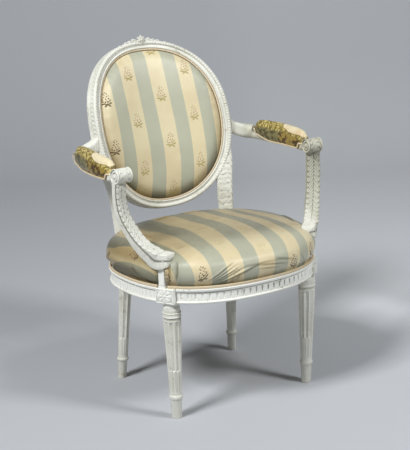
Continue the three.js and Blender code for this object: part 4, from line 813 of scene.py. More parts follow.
def medallion_arc(low, high):
    """A stretch of the medallion's moulded ring: the section is carried round the oval. A row of
    beads runs along its outer moulding and slanting leaf cuts along its outer side."""
    angles = oval_angles(low, high, 1.1)
    run = np.interp(angles % (2 * math.pi), *oval_run())[:, None]
    section = medallion_section()
    x = np.broadcast_to(section[:, 0], (len(angles), len(section))).copy()
    y = np.broadcast_to(section[:, 1], x.shape).copy()
    on_bead = np.clip(1 - ((x - 15) / 3.4) ** 2, 0, 1) ** 0.5 * (y > 0.5) * (x > 11.6)
    bead = waves(run / 7.2) ** 0.55
    y += on_bead * (0.5 + 1.9 * bead)
    on_side = ease(-y, 4, 6) * ease(y, -20, -18) * (x > 19.9)
    cuts = 1 - waves(run / 11.0 + np.abs(y + 12) / 13) ** 0.7
    x -= on_side * 1.3 * cuts
    # Dirt and painted shade between the beads, in the side cuts and in the moulding's seams.
    seams = (bell(x, 11.0, 0.9) * 0.45 + bell(x, 4.2, 0.5) * 0.25) * (y > -3)
    dirt_and_shade = on_bead * (1 - bead) * 0.55 + on_side * cuts * 0.6 + seams
    return Body().grid(frame_place(angles[:, None], x, y), caps=True, dirt_and_shade=dirt_and_shade)


# The crest's leaves on each side: the angle from its middle, out of the frame's edge, tilt, length, width.
CREST_LEAVES = (
    (0.075, 3.5, 0.42, 10, 4.6), (0.075, -3.0, -0.12, 12, 4.2), (0.135, 1.2, 0.3, 9, 4.4),
    (0.155, -5.0, -0.1, 10, 3.4), (0.195, 0.2, 0.34, 8, 4.0), (0.235, -2.4, 0.08, 9, 3.8),
    (0.3, -1.4, 0.3, 8, 3.4), (0.36, -2.6, 0.2, 8, 3.2), (0.42, -2.0, 0.3, 7, 3.0))


def crest():
    """The carved crest: a flower of two rings of petals between leaves that lie along the top
    rail. Each petal or leaf is an ellipsoid drawn out to a tip, with a groove down its middle."""
    body = Body()
    forward = np.array([0, -math.cos(BACK_LEAN), math.sin(BACK_LEAN)])
    upward = np.array([0, math.sin(BACK_LEAN), math.cos(BACK_LEAN)])
    a, b = np.linspace(0, math.pi, 22)[:, None], full_turn(24)
    groove = bell(np.cos(b), 0, 0.25) + 0 * a

    def petal(x, s, depth, turn, long, wide, thick):
        """Adds one petal at a place on the board, turned from its X."""
        u = -np.cos(a) * long
        w = np.sin(a) ** 1.2 * wide * np.cos(b) * (1 + 0.12 * np.sin(7 * a))
        h = np.sin(a) * thick * np.sin(b) * (1 - 0.45 * groove)
        c, n = math.cos(turn), math.sin(turn)
        local = np.stack([u * c - w * n, u * n + w * c, h], -1)
        points = back_place(x, s, depth) + local @ np.array([(1.0, 0, 0), upward, forward])
        # Dirt and painted shade in each petal's groove.
        body.grid(points, dirt_and_shade=groove * (np.sin(b) > 0) * 0.7)

    middle = BACK_HALF_HEIGHT + BACK_FACE + 2.5
    for ring, (count, radius, long, depth) in enumerate(((7, 7.8, 6.4, 0.5), (5, 4.2, 4.6, 3.2))):
        for i in range(count):
            turn = math.pi / 2 + (i + 0.5 * ring) * 2 * math.pi / count
            petal(radius * math.cos(turn), middle + radius * math.sin(turn), depth, turn, long,
                  3.9 - ring * 0.8, 3.0)
    petal(0, middle, 5.5, 0, 2.6, 2.6, 2.2)
    for sign in (-1, 1):
        for angle, rise, tilt, long, wide in CREST_LEAVES:
            x, s = oval_place(math.pi / 2 - sign * angle, BACK_FACE + rise)
            petal(x, s, -2.0, sign * (tilt - angle * 1.05), long, wide, 3.4)
    return body


# ---- stiles, arms and supports ----

def leaf_cuts(run, aside, pitch, slant, sway, ripple, lip_at, lip_width):
    """A row of leaf lobes along a carved face, each the fraction of a slanting wavy run, and the
    sharp lip at its end."""
    lobe = (run / pitch + np.abs(aside) / slant + sway * np.sin(run * ripple[0] + aside * ripple[1])) % 1
    return lobe, bell(lobe, lip_at, lip_width)


def stile():
    """A rear stile: a rounded rectangle carried up a smooth curve from the rear block into the
    medallion's side, with long leaf cuts down its outer faces."""
    base = np.append(REAR_POST["centre"], RAIL_TOP - 8)
    join = frame_place(math.radians(-27), BACK_FACE * 0.5, -BACK_DEPTH / 2)
    tip = frame_place(math.radians(-12), BACK_FACE * 0.3, -BACK_DEPTH / 2)
    low = base + (join - base) * (-0.1, 0.28, 0.36)
    high = base + (join - base) * (0.2, 0.6, 0.72)
    share = np.linspace(0, 1, 220)
    path = smooth_run([base, low, high, join, tip], len(share))
    turn = mix(math.pi - math.atan2(REAR_OUT[0], -REAR_OUT[1]), np.arctan(path[:, 0] / BACK_HOLLOW), share)
    across = at_height(np.stack([np.cos(turn), -np.sin(turn)], -1), 0)
    up = at_height(np.stack([np.sin(turn), np.cos(turn)], -1), 0)
    width = 40 * np.interp(share, [0, 0.3, 0.65, 1], [0.9, 1.04, 1.12, 0.45])
    depth = 30 * np.interp(share, [0, 0.65, 1], [1, 0.9, 0.6])
    ring = refined(rounded(1, 1, 0.14, 5), 96)
    section = ring[None] * np.stack([width, depth], -1)[:, None]
    run = arc_length(path)[:, None]
    aside, thick = section[..., 0], section[..., 1]
    lobe, lip = leaf_cuts(run, aside, 19.0, 15.0, 0.12, (0.09, 0.25), 0.95, 0.07)
    veins = np.sin(run * 0.4 + np.abs(aside) * 1.0 + 1.4 * np.sin(run * 0.07))
    middle = bell(aside, 0, 1.3)
    carved = (np.abs(ring[:, 1]) > 0.42) * ease(run, 20, 50)
    thick -= np.sign(thick) * carved * (1.7 * lip - 1.3 * lobe ** 1.4 + 0.45 * veins + 1.2 * middle)
    # Dirt and painted shade at the leaves' lips, in the veins and down the middle.
    return Body().grid(swept(section, path, across, up), caps=True,
                       dirt_and_shade=carved * (0.8 * lip + 0.3 * (veins > 0.4) + 0.4 * middle))


ARM_ROOT = frame_place(math.radians(-6.5), BACK_FACE * 0.55, -BACK_DEPTH * 0.55)


def arm_path():
    """The arm's centre line in plan from the medallion's side to the scroll, the share of its
    length at each point, and the length."""
    shares = np.array([[0, 0], [0.22, 0.002], [0.48, 0.02], [0.72, 0.055], [0.89, 0.14], [0.98, 0.35],
                       [1.07, 0.6], [1.05, 0.82], [1, 1]])
    span = np.array([VOLUTE_X, VOLUTE_Y]) - ARM_ROOT[:2]
    fine = smooth_run(ARM_ROOT[:2] + shares * span, 3000)
    run = arc_length(fine)
    return fine, run / run[-1], run[-1]


ARM_LINE, ARM_SHARE, ARM_LENGTH = arm_path()


def arm_at(share):
    """Plan place on the arm's line at a share of its length, and the directions ahead and across."""
    place, after, before = (resampled(ARM_SHARE, ARM_LINE, at) for at in
                            (share, np.clip(share + 0.004, 0, 1), np.clip(share - 0.004, 0, 1)))
    ahead = unit(after - before)
    return place, ahead, np.stack([-ahead[..., 1], ahead[..., 0]], -1)


def pad_seat(share):
    """The height at which the pad sits on the arm."""
    rear, front = ARM_ROOT[2] - 22, ARM_TOP_END - VOLUTE_RADIUS * 0.25
    return mix(rear, front, (share - PAD_START) / (PAD_END - PAD_START))


def arm_heights(share):
    """Heights of the arm's upper and lower faces along it, by straight steps between set places."""
    root, ledge, toe = ARM_ROOT[2], PAD_START - 0.024, ARM_TOP_END - ARM_HEIGHT
    top = np.interp(share, [0, 0.06, 0.13, 0.18, PAD_START - 0.036, ledge, PAD_END, PAD_END + 0.03, 1],
                    [root + 22.5, root + 6.3, root - 1.3, root - 4.5, root - 5.4, pad_seat(ledge),
                     pad_seat(PAD_END), ARM_TOP_END, ARM_TOP_END])
    low = np.interp(share, [0, 0.06, 0.13, 0.18, PAD_START + 0.05, PAD_END - 0.02, PAD_END + 0.03, 1],
                    [root - 22.5, root - 31, root - 39.2, root - 43.6,
                     pad_seat(PAD_START + 0.05) - ARM_HEIGHT, pad_seat(PAD_END) - ARM_HEIGHT, toe, toe])
    return top, low


def arm_wood():
    """The arm: a rounded section carried along its line, flared where it springs from the back,
    with a leaf laid over its end, and the scroll with a spiral cut in each face."""
    share = np.concatenate([np.linspace(0.015, 0.24, 90), np.linspace(0.243, 0.86, 70),
                            np.linspace(0.863, 0.99, 60)])
    place, _, across = arm_at(share)
    top, low = arm_heights(share)
    half = 15 * np.interp(share, [0, 0.1, 0.3, PAD_END, 1], [1.0, 0.9, 1.0, 1.05, 1.5])
    ring = rounded(1, 1, 0.3, 9)
    elbow = 0.9 * ease(share, 0.12, 0.2) * (1 - ease(share, 0.34, 0.46))
    section = mix(ring[None], rounded(1, 1, 0.499, 9)[None], elbow[:, None, None])
    section = section * np.stack([2 * half, top - low], -1)[:, None]
    run = (share * ARM_LENGTH)[:, None]
    leaf = ease(share, 0.9, 0.94)[:, None] * (1 - waves(run / 8.0 + np.abs(ring[:, 0]) * 1.6) ** 0.7)
    root_leaf = ease(0.1 - share, 0, 0.05)[:, None] * (1 - waves(run / 7 + ring[:, 0]) ** 0.6)
    section = section * ((1 - leaf * 0.13) * (1 - 0.05 * root_leaf))[..., None]
    points = swept(section, at_height(place, (top + low) / 2), at_height(across, 0), UP)
    # Dirt and painted shade in the leaf cuts at both ends.
    return Body().grid(points, caps=True, dirt_and_shade=leaf * 1.2 + root_leaf * 0.5).join(scroll())


def scroll():
    """The scroll: a smooth roll across the arm's end. Its round face has a narrow bead beside each
    end and leaf cuts on its rear half, and each end dishes in along a spiral groove to its eye."""
    _, ahead, across = arm_at(1.0)
    angle, half = full_turn(144)[None], VOLUTE_HALF
    radii = np.concatenate([[0.3], np.linspace(1.2, VOLUTE_RADIUS - 1.2, 48)])[:, None]
    spiral = bell((angle / (2 * math.pi) + radii / 7.2) % 1, 0.5, 0.14) * ease(radii, 4.0, 5.5)
    dish = 2.4 * ease(radii, 4.0, 6.0) * (1 - ease(radii, VOLUTE_RADIUS - 3.4, VOLUTE_RADIUS - 1.2))
    face = half - 1.2 - dish * 0.55 - spiral * 2.2 + 1.4 * dome(radii / 4.4)
    x = np.linspace(half - 1.6, 1.6 - half, 64)[:, None]
    edge = np.abs(x)
    seam = bell(edge, half - 7.0, 0.9)
    behind = ((0.45 + 0.55 * ease(-np.cos(angle - 0.5), -0.35, 0.25)) * ease(half - 7.5 - edge, 0, 2)
              * (0.3 + 0.7 * ease(edge, 0, 9)))
    cuts = behind * (1 - np.abs(np.sin(4 * angle + 0.7 * np.sin(x * 0.45) + edge * 0.16)) ** 0.8)
    roll = (VOLUTE_RADIUS + 0.7 * bell(edge, half - 3.6, 1.4) - 1.1 * seam - cuts * 3.2
            - 0.9 * ease(edge, half - 3, half - 1.6))
    radius = np.concatenate([radii + 0 * angle, roll, radii[::-1] + 0 * angle])[..., None]
    place = np.concatenate([face, x + 0 * angle, -face[::-1]])[..., None]
    turned = np.append(ahead, 0) * np.cos(angle)[..., None] + UP * np.sin(angle)[..., None]
    points = np.array([VOLUTE_X, VOLUTE_Y, VOLUTE_Z]) + np.append(across, 0) * place + turned * radius
    # Dirt and painted shade in the spiral grooves, the leaf cuts and the seams.
    return Body().grid(points, caps=True,
                       dirt_and_shade=np.concatenate([spiral, cuts * 1.3 + 0.6 * seam, spiral[::-1]]))


NECK_PLACE = FRONT_POST["centre"] + FRONT_POST["out"] * 10 + FRONT_POST["along"] * 8
SUPPORT_WIDE = np.array([math.cos(math.radians(22)), -math.sin(math.radians(22)), 0])
SUPPORT_DEEP = np.array([-SUPPORT_WIDE[1], SUPPORT_WIDE[0], 0])

# The support's path: shares of the way from the neck to the scroll, in plan and in height.
SUPPORT_PATH = ((0.06, 0.0), (0.27, 0.066), (0.47, 0.142), (0.68, 0.262), (0.92, 0.46), (1.03, 0.6),
                (1.08, 0.73), (1.09, 0.86), (1.07, 1.02))


def support():
    """An arm support: a board carried up a smooth curve from its toe over the neck to the scroll.
    Its wide face is cut with long leaves, scalloped at both edges, and a groove runs along each
    smooth side beside it."""
    away = np.array([VOLUTE_X, VOLUTE_Y]) - NECK_PLACE
    rise = ARM_TOP_END - ARM_HEIGHT - 0.3 - HEEL_Z
    toe = np.append(NECK_PLACE - unit(away) * 24, TOE_Z)
    share = np.linspace(0, 1, 330)
    path = smooth_run([toe] + [np.append(NECK_PLACE + away * a, HEEL_Z + rise * b) for a, b in SUPPORT_PATH],
                      len(share))
    run = arc_length(path)[:, None]
    up = unit(np.cross(SUPPORT_WIDE, unit(np.gradient(path, axis=0))))
    nose = np.maximum(dome(1 - np.clip(run[:, 0] / 4.5, 0, 1)), 0.5)
    width = 36 * nose * np.interp(share, [0, 0.08, 0.2, 0.6, 1], [1.0, 1.08, 1.12, 1, 0.97])
    depth = 16 * np.interp(share, [0, 0.11, 0.22, 0.33, 0.45, 0.6, 1], [1.7, 2.7, 2.1, 1.65, 1.27, 1, 1])
    depth = nose * np.convolve(np.pad(depth, 16, "edge"), np.ones(33) / 33, "valid")

    face_x = np.linspace(-0.5, 0.5, 70)
    side_y = np.linspace(0.5, -0.5, 26)[1:-1]
    ring = np.concatenate([np.stack(np.broadcast_arrays(x, y), -1) for x, y in (
        (face_x[::-1], 0.5), (-0.5, side_y), (face_x[::4], -0.5), (0.5, side_y[::-1]))])
    section = ring[None] * np.stack([width, depth], -1)[:, None]
    width, depth = width[:, None], depth[:, None]
    aside = section[..., 0].copy()
    margin = width / 2 - np.abs(aside)
    below = (0.5 - ring[:, 1])[None] * depth
    on_face = (ring[:, 1] > 0.49)[None]
    on_side = ((np.abs(ring[:, 0]) > 0.49) & (np.abs(ring[:, 1]) < 0.47))[None]

    whole = ease(run, 8, 16) * mix(0.72, 1, ease(share, 0.3, 0.62))[:, None]
    lobe, lip = leaf_cuts(run, aside, 15.0, 17.0, 0.1, (0.11, 0.2), 0.96, 0.05)
    veins = np.sin(run * 0.62 + np.abs(aside) * 0.95 + 1.2 * np.sin(run * 0.09))
    midrib = bell(aside, 0, 1.1)
    inner = whole * ease(margin, 0.5, 3.5)
    relief = inner * (1.5 * lobe ** 1.4 - 1.6 * lip + 0.4 * veins - 1.2 * midrib)
    section[..., 1] += np.where(on_face, relief - 1.2 * (1 - ease(margin, 0, 1.6)), 0)
    notch = (1 - waves(run / 15.0 + 0.56)) ** 2.5 * ease(6.0 - below, 0, 3) * whole * (margin < 5)
    middle = (0.17 + 0.27 * (1 - ease(share, 0.1, 0.4)[:, None])) * depth + 1.6
    groove = bell(below, middle, 0.06 * depth + 0.35) * on_side
    low = np.clip((below - middle * 1.5) / (depth - middle * 1.5), 0, 1)
    swell = 1.2 * on_side * np.sqrt(low * (1 - low))
    section[..., 0] -= np.sign(aside) * (notch * 2.2 + groove * 2.8 - swell)
    # Dirt and painted shade in the leaves' lips, veins, midrib and notches; painted shade in each groove and over
    # the whole of each smooth side.
    dirt_and_shade = np.where(on_face, inner * (lip * 0.8 + 0.3 * (veins < -0.5) + midrib * 0.5) + notch * 0.9,
                    groove * 1.3 + on_side * 0.24)
    return Body().grid(swept(section, path, SUPPORT_WIDE, up), caps=True, dirt_and_shade=dirt_and_shade).join(neck())


def neck():
    """The square neck between the block and the board: its half size swells at the foot and the
    head along its height, over a seam at the foot."""
    z = np.concatenate([[RAIL_TOP + 0.3], np.linspace(RAIL_TOP + 2, HEEL_Z + 2, 50)])
    t = (z - RAIL_TOP) / (HEEL_Z - RAIL_TOP)
    scale = np.interp(t, [0, 0.05, 0.12, 0.6, 0.85, 1.0, 1.1], [1.12, 1.12, 1.0, 1.0, 1.12, 1.34, 1.4])
    section = refined(rounded(21, 21 * 0.85, 1.6, 4), 64)[None] * scale[:, None, None]
    origin = at_height(np.broadcast_to(NECK_PLACE, (len(z), 2)), z)
    # Dirt and painted shade in the seam at the foot.
    return Body().grid(swept(section, origin, SUPPORT_WIDE, SUPPORT_DEEP), caps=True,
                       dirt_and_shade=bell(t, 0.1, 0.03)[:, None] * 0.5)


# ---- upholstery ----

# How the cloth was pulled aside on the seat and on the back, as terms of strained().
SEAT_STRAIN = (10.65, -4.25, 2.36, -3.47, -9.3, -18.38, 4.61, 6.91, 2.02, 4.3)
BACK_STRAIN = (-1.65, -9.98, 3.17, 3.55, 0.21, 1.77, 3.34, -1.03, 0.92, -1.66)

# Folds of the seat's cloth: start and end on the cloth from the front's bottom edge, width, height.
SEAT_FOLDS = (
    ((-138, 52), (-80, 72), 2.4, 1.5), ((-134, 46), (-74, 64), 2.0, 1.1), ((-131, 41), (-62, 57), 2.2, 1.7),
    ((-127, 35), (-44, 56), 2.2, 1.4), ((-123, 29), (0, 52), 2.6, 2.1), ((-114, 25), (-38, 43), 2.0, 1.4),
    ((-108, 20), (-48, 36), 2.0, 1.3), ((-96, 16), (-50, 28), 2.0, 0.9), ((-50, 53), (60, 53), 3.0, 0.45),
    ((-8, 47), (84, 41), 2.4, 0.8), ((-8, 38), (56, 33), 2.2, 0.7), ((40, 58), (120, 50), 3.0, 0.5),
    ((176, 4), (120, 46), 4.0, 0.9), ((168, 20), (110, 66), 4.0, 0.6),
    ((-286, 440), (-290, 235), 8.0, 3.4), ((-297, 350), (-309, 225), 4.5, 3.0),
    ((-305, 400), (-312, 280), 3.6, 2.0), ((-280, 250), (-306, 190), 5.0, 2.2),
    ((286, 420), (300, 230), 7.0, 2.2), ((300, 340), (312, 220), 4.0, 1.6),
    ((-184, 378), (-164, 300), 6.0, 2.4), ((-78, 460), (-12, 490), 6.0, 2.2),
    ((238, 318), (210, 212), 4.0, 2.2), ((-208, 160), (-226, 108), 5.0, 1.6),
    ((-196, 140), (-206, 84), 4.0, 1.2), ((20, 492), (96, 470), 6.0, 1.4))


def layered_noise(points, scale, seed):
    """Soft random lumps: the mean of sines of the place along set slanting directions."""
    rng = np.random.default_rng(seed)
    total = 0
    for k in range(7):
        direction = unit(rng.normal(size=3))
        start = rng.uniform(0, 6.28)
        total = total + np.sin(points @ direction / scale * (0.6 + 0.25 * k) + start)
    return total / 7


def fold(u, v, start, end, width, height):
    """A pulled fold: a ridge beside a valley along a line on the cloth. Its height is a bell curve
    less a lower one set aside by one and a half widths, and both die away at the line's ends. The
    second value tells how deep in the valley a place lies."""
    line = np.subtract(end, start)
    length = np.linalg.norm(line)
    line = line / length
    along = (u - start[0]) * line[0] + (v - start[1]) * line[1]
    aside = ((v - start[1]) * line[0] - (u - start[0]) * line[1]) / width
    t = along / length
    fade = ease(t, -0.15, 0.15) * (1 - ease(t, 0.5, 1.15))
    valley = bell(aside, -1.5, 1) * fade
    return height * (bell(aside, 0, 1) * fade - 0.8 * valley), valley


def strained(u, v, terms, low, high):
    """The place across the stripes once the cloth was pulled aside and nailed down: u plus a cubic
    of the place in units of 100 mm, with terms 1, u, v, uu, uv, vv, uuu, uuv, uvv and vvv, held
    level outside a range."""
    a = np.clip(u, low[0], high[0]) / 100
    b = np.clip(v, low[1], high[1]) / 100
    powers = (1, a, b, a * a, a * b, b * b, a ** 3, a * a * b, a * b * b, b ** 3)
    return u + sum(term * power for term, power in zip(terms, powers))


def dense_angles(count):
    """Angles round the seat, standing closer together along its front where the folds are fine."""
    fine = np.linspace(0, 2 * math.pi, 6001)
    step = np.diff(arc_length(seat_place(fine))) * (1 + 1.6 * ease(np.cos(fine[1:]), 0.45, 0.7))
    return np.interp(np.linspace(0, step.sum(), count + 1)[:-1], np.concatenate([[0], np.cumsum(step)]), fine)


def seat_line():
    """The seat's smooth outline from its tacked edge to the crown's middle: shares of the oval's
    reach and of the crown's height, closer together low down."""
    line = smooth_run([[0.985, 0], [0.99, 0.08], [1.03, 0.26], [1.035, 0.48], [0.99, 0.7], [0.87, 0.88],
                       [0.6, 0.975], [0.2, 1], [0.0, 1.0]], 300)
    length = arc_length(line * (250, SEAT_CROWN))
    line = resampled(length, line, np.linspace(0, 1, 158) ** 1.3 * length[-1])
    line[-1, 0] = 0.0004
    return line


def seat_cloth():
    """The stuffed seat. Rings of the seat's oval are scaled and raised by a smooth profile, from
    the tacked edge up the swelling sides and over the crown. The cloth's own place runs with X
    across, and down the front and back by the length lost over the edge."""
    line = seat_line()
    around = 590
    angle = dense_angles(around)
    rim = seat_place(angle, 5.6 - RAIL_PROUD)
    plan = SEAT_CENTRE + (rim - SEAT_CENTRE)[None] * line[:, :1, None]
    height = line[:, 1:] * SEAT_CROWN
    points = at_height(plan, RAIL_TOP + 0.3 + height)
    reach = np.linalg.norm(plan - SEAT_CENTRE, axis=-1)
    out = unit(at_height(np.gradient(points[..., 2], axis=0)[..., None] * unit(rim - SEAT_CENTRE)[None],
                         -np.gradient(reach, axis=0)) + 1e-9)

    # The cloth's own place: u across it and v back from the front's bottom edge.
    step = np.hypot(np.diff(reach, axis=0), np.diff(height, axis=0))
    meridian = np.concatenate([np.cumsum(step[::-1], axis=0)[::-1], np.zeros((1, around))])
    lost = np.maximum(meridian - reach, 0)
    theta = np.arctan2(np.sin(angle), np.cos(angle))[None]
    degrees = np.degrees(np.abs(theta))
    side = ease(degrees, 46, 64) * (1 - ease(degrees, 118, 136))
    u = plan[..., 0] + np.sign(theta) * lost * side
    v = plan[..., 1] + np.where(degrees < 90, -1.0, 1.0) * lost * (1 - side)
    v = v - v[0, 0]

    free = ease(height, 2, 9)
    move = 0.9 * layered_noise(points, 46, 3) * free
    # Dirt and painted shade: a little everywhere, more over the crown towards the back, and painted shade along
    # the tacked edge low down.
    dirt_and_shade = (0.11 + 0.46 * ease(v, 95, 215) * ease(height, 40, 76) + 0.06 * ease(height, 50, 86)
            + 0.06 * ease(v, 250, 450) + 0.3 * np.exp(-height / 7))
    left = theta < 0
    # Dirt and painted shade low on the sides, more on the left.
    dirt_and_shade = dirt_and_shade + side * (1 - ease(height, 58, 84)) * np.where(left, 0.36 + 0.1 * ease(v, 230, 330), 0.2)
    dirt_and_shade = dirt_and_shade + side * (1 - ease(height, 20, 52)) * np.where(left, 0.5 * ease(v, 150, 270), 0.15)
    # Each fold lifts the cloth, with painted shade in its valley.
    for start, end, width, rise in SEAT_FOLDS:
        lift, valley = fold(u, v, start, end, width, rise)
        move = move + lift * free
        dirt_and_shade = dirt_and_shade + valley * 0.45 * free
    # Each post pulls the cloth down, with dirt and painted shade about it.
    for post_of, size in ((FRONT_POST, 34), (REAR_POST, 26)):
        for sign in (-1, 1):
            away = plan - post_of["centre"] * (sign, 1)
            near = bell(np.linalg.norm(away, axis=-1), 0, size) * (1 - ease(height, 40, 80))
            gathers = 0.5 * np.sin(np.arctan2(away[..., 1], away[..., 0]) * 9 + height * 0.11)
            move = move + near * (gathers - 1.6) * free
            dirt_and_shade = dirt_and_shade + near * 0.22
    tacks = 0.5 * waves(arc_length(rim)[None] / 23) * (1 - ease(height, 8, 26)) * ease(height, 0, 3)
    points = points + out * (move - tacks)[..., None]

    # The cloth is cut and tucked in round the neck of each support.
    for sign in (-1, 1):
        flip = np.array([sign, 1.0])
        wide, deep = SUPPORT_WIDE[:2] * flip, SUPPORT_DEEP[:2] * flip
        local = points[..., :2] - NECK_PLACE * flip
        forward, aside, z = local @ wide, np.abs(local @ deep), points[..., 2]
        cut = (1 - ease(aside, 8.6, 11.6)) * (1 - ease(z, 400, 412)) * (forward > -12)
        # Painted shade beside the tuck.
        dirt_and_shade = dirt_and_shade + bell(aside, 12.5, 3) * (forward > -4) * (z < 404) * 0.06
        points[..., :2] -= (cut * np.maximum(forward + 4, 0))[..., None] * wide

    across = strained(u, v - 26, SEAT_STRAIN, (-200, -40), (170, 340))
    along = v - 45 + 0.0011 * np.clip(u - 30, -185, 185) ** 2
    body = Body().grid(points, cloth=np.stack([across, along], -1) / 1000, dirt_and_shade=dirt_and_shade)
    body.faces.append(list(range(around))[::-1])
    piece = body.make("seat_cloth", "striped_silk", ["seat_cover"], sharp=80)


def back_cloth():
    """The stuffed back: shares of the medallion's oval, raised along a smooth crown, over a flat
    lining that closes it behind."""
    lining = np.stack([np.linspace(0.0004, 0.98, 14), np.full(14, -8.7)], -1)
    crown = smooth_run([[1, -8.7], [1, -3.0], [0.985, 1.6], [0.95, 6.4], [0.86, 12.6], [0.62, 18.0],
                        [0.3, 19.8], [0, 20.0]], 100)
    line = np.concatenate([lining, crown])
    line[-1, 0] = 0.0004
    share, depth = line[:, :1], line[:, 1:]
    angle = oval_angles(0, 2 * math.pi, 3.2)[:-1]
    x, s = (part[None] * share for part in oval_place(angle, -6.3))
    free = ease(depth, -2, 5)
    lumps = 0.55 * layered_noise(back_place(x, s, depth), 40, 8)
    gathers = 0.5 * (1 - ease(depth, 6, 14)) * np.abs(np.sin(angle * 26))
    points = back_place(x, s, depth + (lumps - gathers) * free)
    inward = (1 - share) * 190
    low = ease(-np.sin(angle), -0.3, 0.75)
    rim = np.exp(-(np.maximum(inward, 0) / 17) ** 1.3)
    # Dirt and painted shade round the rim, darkest along the bottom where the crown turns down, with a wider band
    # low down.
    dirt_and_shade = 0.05 + rim * mix(0.26, 0.8, low) + 0.12 * low * bell(inward, 0, 60)
    u = x * (1 + x * x / (6 * BACK_HOLLOW ** 2))
    across = strained(u, s - 12, BACK_STRAIN, (-160, -185), (160, 165))
    body = Body().grid(points, cloth=np.stack([across, s - 12], -1) / 1000, dirt_and_shade=dirt_and_shade, caps=True)
    piece = body.make("back_cloth", "striped_silk", ["back_cover"], sharp=80)


def outside_cloth():
    """The cloth over the back's rear: a sheet on the oval, a little slack in its middle."""
    share = np.concatenate([np.linspace(1, 0.02, 50), [0.0008]])[:, None]
    angle = oval_angles(0, 2 * math.pi, 5)[:-1]
    x, s = (part[None] * share for part in oval_place(angle, -5.0))
    face = -24.2 - 3 * (1 - share) + 0.4 * np.sin(x / 40) * (1 - share)
    front = back_place(x, s, face + 1.0)
    rear = back_place(x, s, face - 0.6)
    cloth = np.stack([x * 1.02, s - 12], -1) / 1000
    body = Body().grid(np.concatenate([front[::-1], rear]), cloth=np.concatenate([cloth[::-1], cloth]))
    piece = body.make("outside_back_cloth", "striped_silk", ["back_outside_cover"], sharp=80)


def braid(origin, across, up, width, height, closed):
    """Gimp: a low rounded band carried along a line, its edges scalloped by small loops."""
    run = arc_length(origin)
    ring = rounded(1, 1, 0.34, 5)
    loops = 1 + 0.10 * waves(run / 3.3)[:, None] * np.sign(np.abs(ring[:, 1]) - 0.2)
    section = ring[None] * np.array([width, height]) * loops[..., None] * 0.94
    cloth = np.stack(np.broadcast_arrays(ring[None, :, 1] * height, run[:, None]), -1) / 1000
    return Body().grid(swept(section, origin, across, up), wrap_rows=closed, caps=not closed, cloth=cloth)


def post_span(post_of, width, centre):
    """Angles at which the seat's gimp meets a post, from its distance along the block."""
    fine = np.linspace(0, math.pi, 3000)
    away = seat_place(fine) - centre
    inside = fine[(np.abs(away @ post_of["along"]) < width / 2 + 1.6) & (away @ post_of["out"] > -60)
                  & (np.abs(away).sum(-1) < 90)]
    return inside.min(), inside.max()


def make_gimps():
    """Gimp round the seat in four lengths between the posts, and round both sides of the back."""
    front = post_span(FRONT_POST, 25, NECK_PLACE)
    rear = post_span(REAR_POST, 36, REAR_POST["centre"])
    for side, low, high in (("front", -front[0], front[0]), ("left", front[1], rear[0]),
                            ("right", -rear[0], -front[1]), ("back", rear[1], 2 * math.pi - rear[1])):
        angles = rail_angles(low, high, int((high - low) * 250))
        out = seat_outward(angles)
        line = at_height(seat_place(angles) + out * (RAIL_PROUD - 2.8), RAIL_TOP + 3.6)
        braid(line, at_height(out, 0), UP, 4.4, 6.4, False).make(
            f"seat_braid_{side}", "gimp_braid", [f"seat_gimp_{side}"])
    for side, offset, depth, wide, deep in (("front", -3.0, -1.6, 4.4, 4.2), ("rear", -6.0, -27.0, 5.0, 1.9)):
        angle = oval_angles(0, 2 * math.pi, 1.6)[:-1]
        line = frame_place(angle, offset, depth)
        outer = unit(frame_place(angle, offset + 1, depth) - line)
        ahead = unit(frame_place(angle, offset, depth + 1) - line)
        braid(line, outer, ahead, wide, deep, True).make(f"back_braid_{side}", "gimp_braid", [f"back_gimp_{side}"])


def pad_ring(length_share, width_share, rise, square, angle, shrink=0.0, lift=0.0):
    """A ring of the arm pad: a squarish oval along the arm's bent line, at a share of the height
    from the skirt to the crown. Gives its points, their share of the arm and how far aside."""
    centre, reach = (PAD_START + PAD_END) / 2, (PAD_END - PAD_START) / 2
    along, aside = (np.sign(part) * np.abs(part) ** (2 / square) for part in (np.cos(angle), np.sin(angle)))
    share = centre + along * (reach * length_share - shrink / ARM_LENGTH)
    aside = aside * (22 * width_share - shrink)
    place, _, across = arm_at(share)
    crown = pad_seat(share) + mix(36.5, 31, (share - PAD_START) / (2 * reach)) - shrink
    skirt = pad_seat(share) - ARM_HEIGHT + 4 + 15 * (1 - ease(share, PAD_START - 0.01, PAD_START + 0.25))
    return at_height(place + across * aside[..., None], mix(skirt, crown, rise) + lift), share, aside


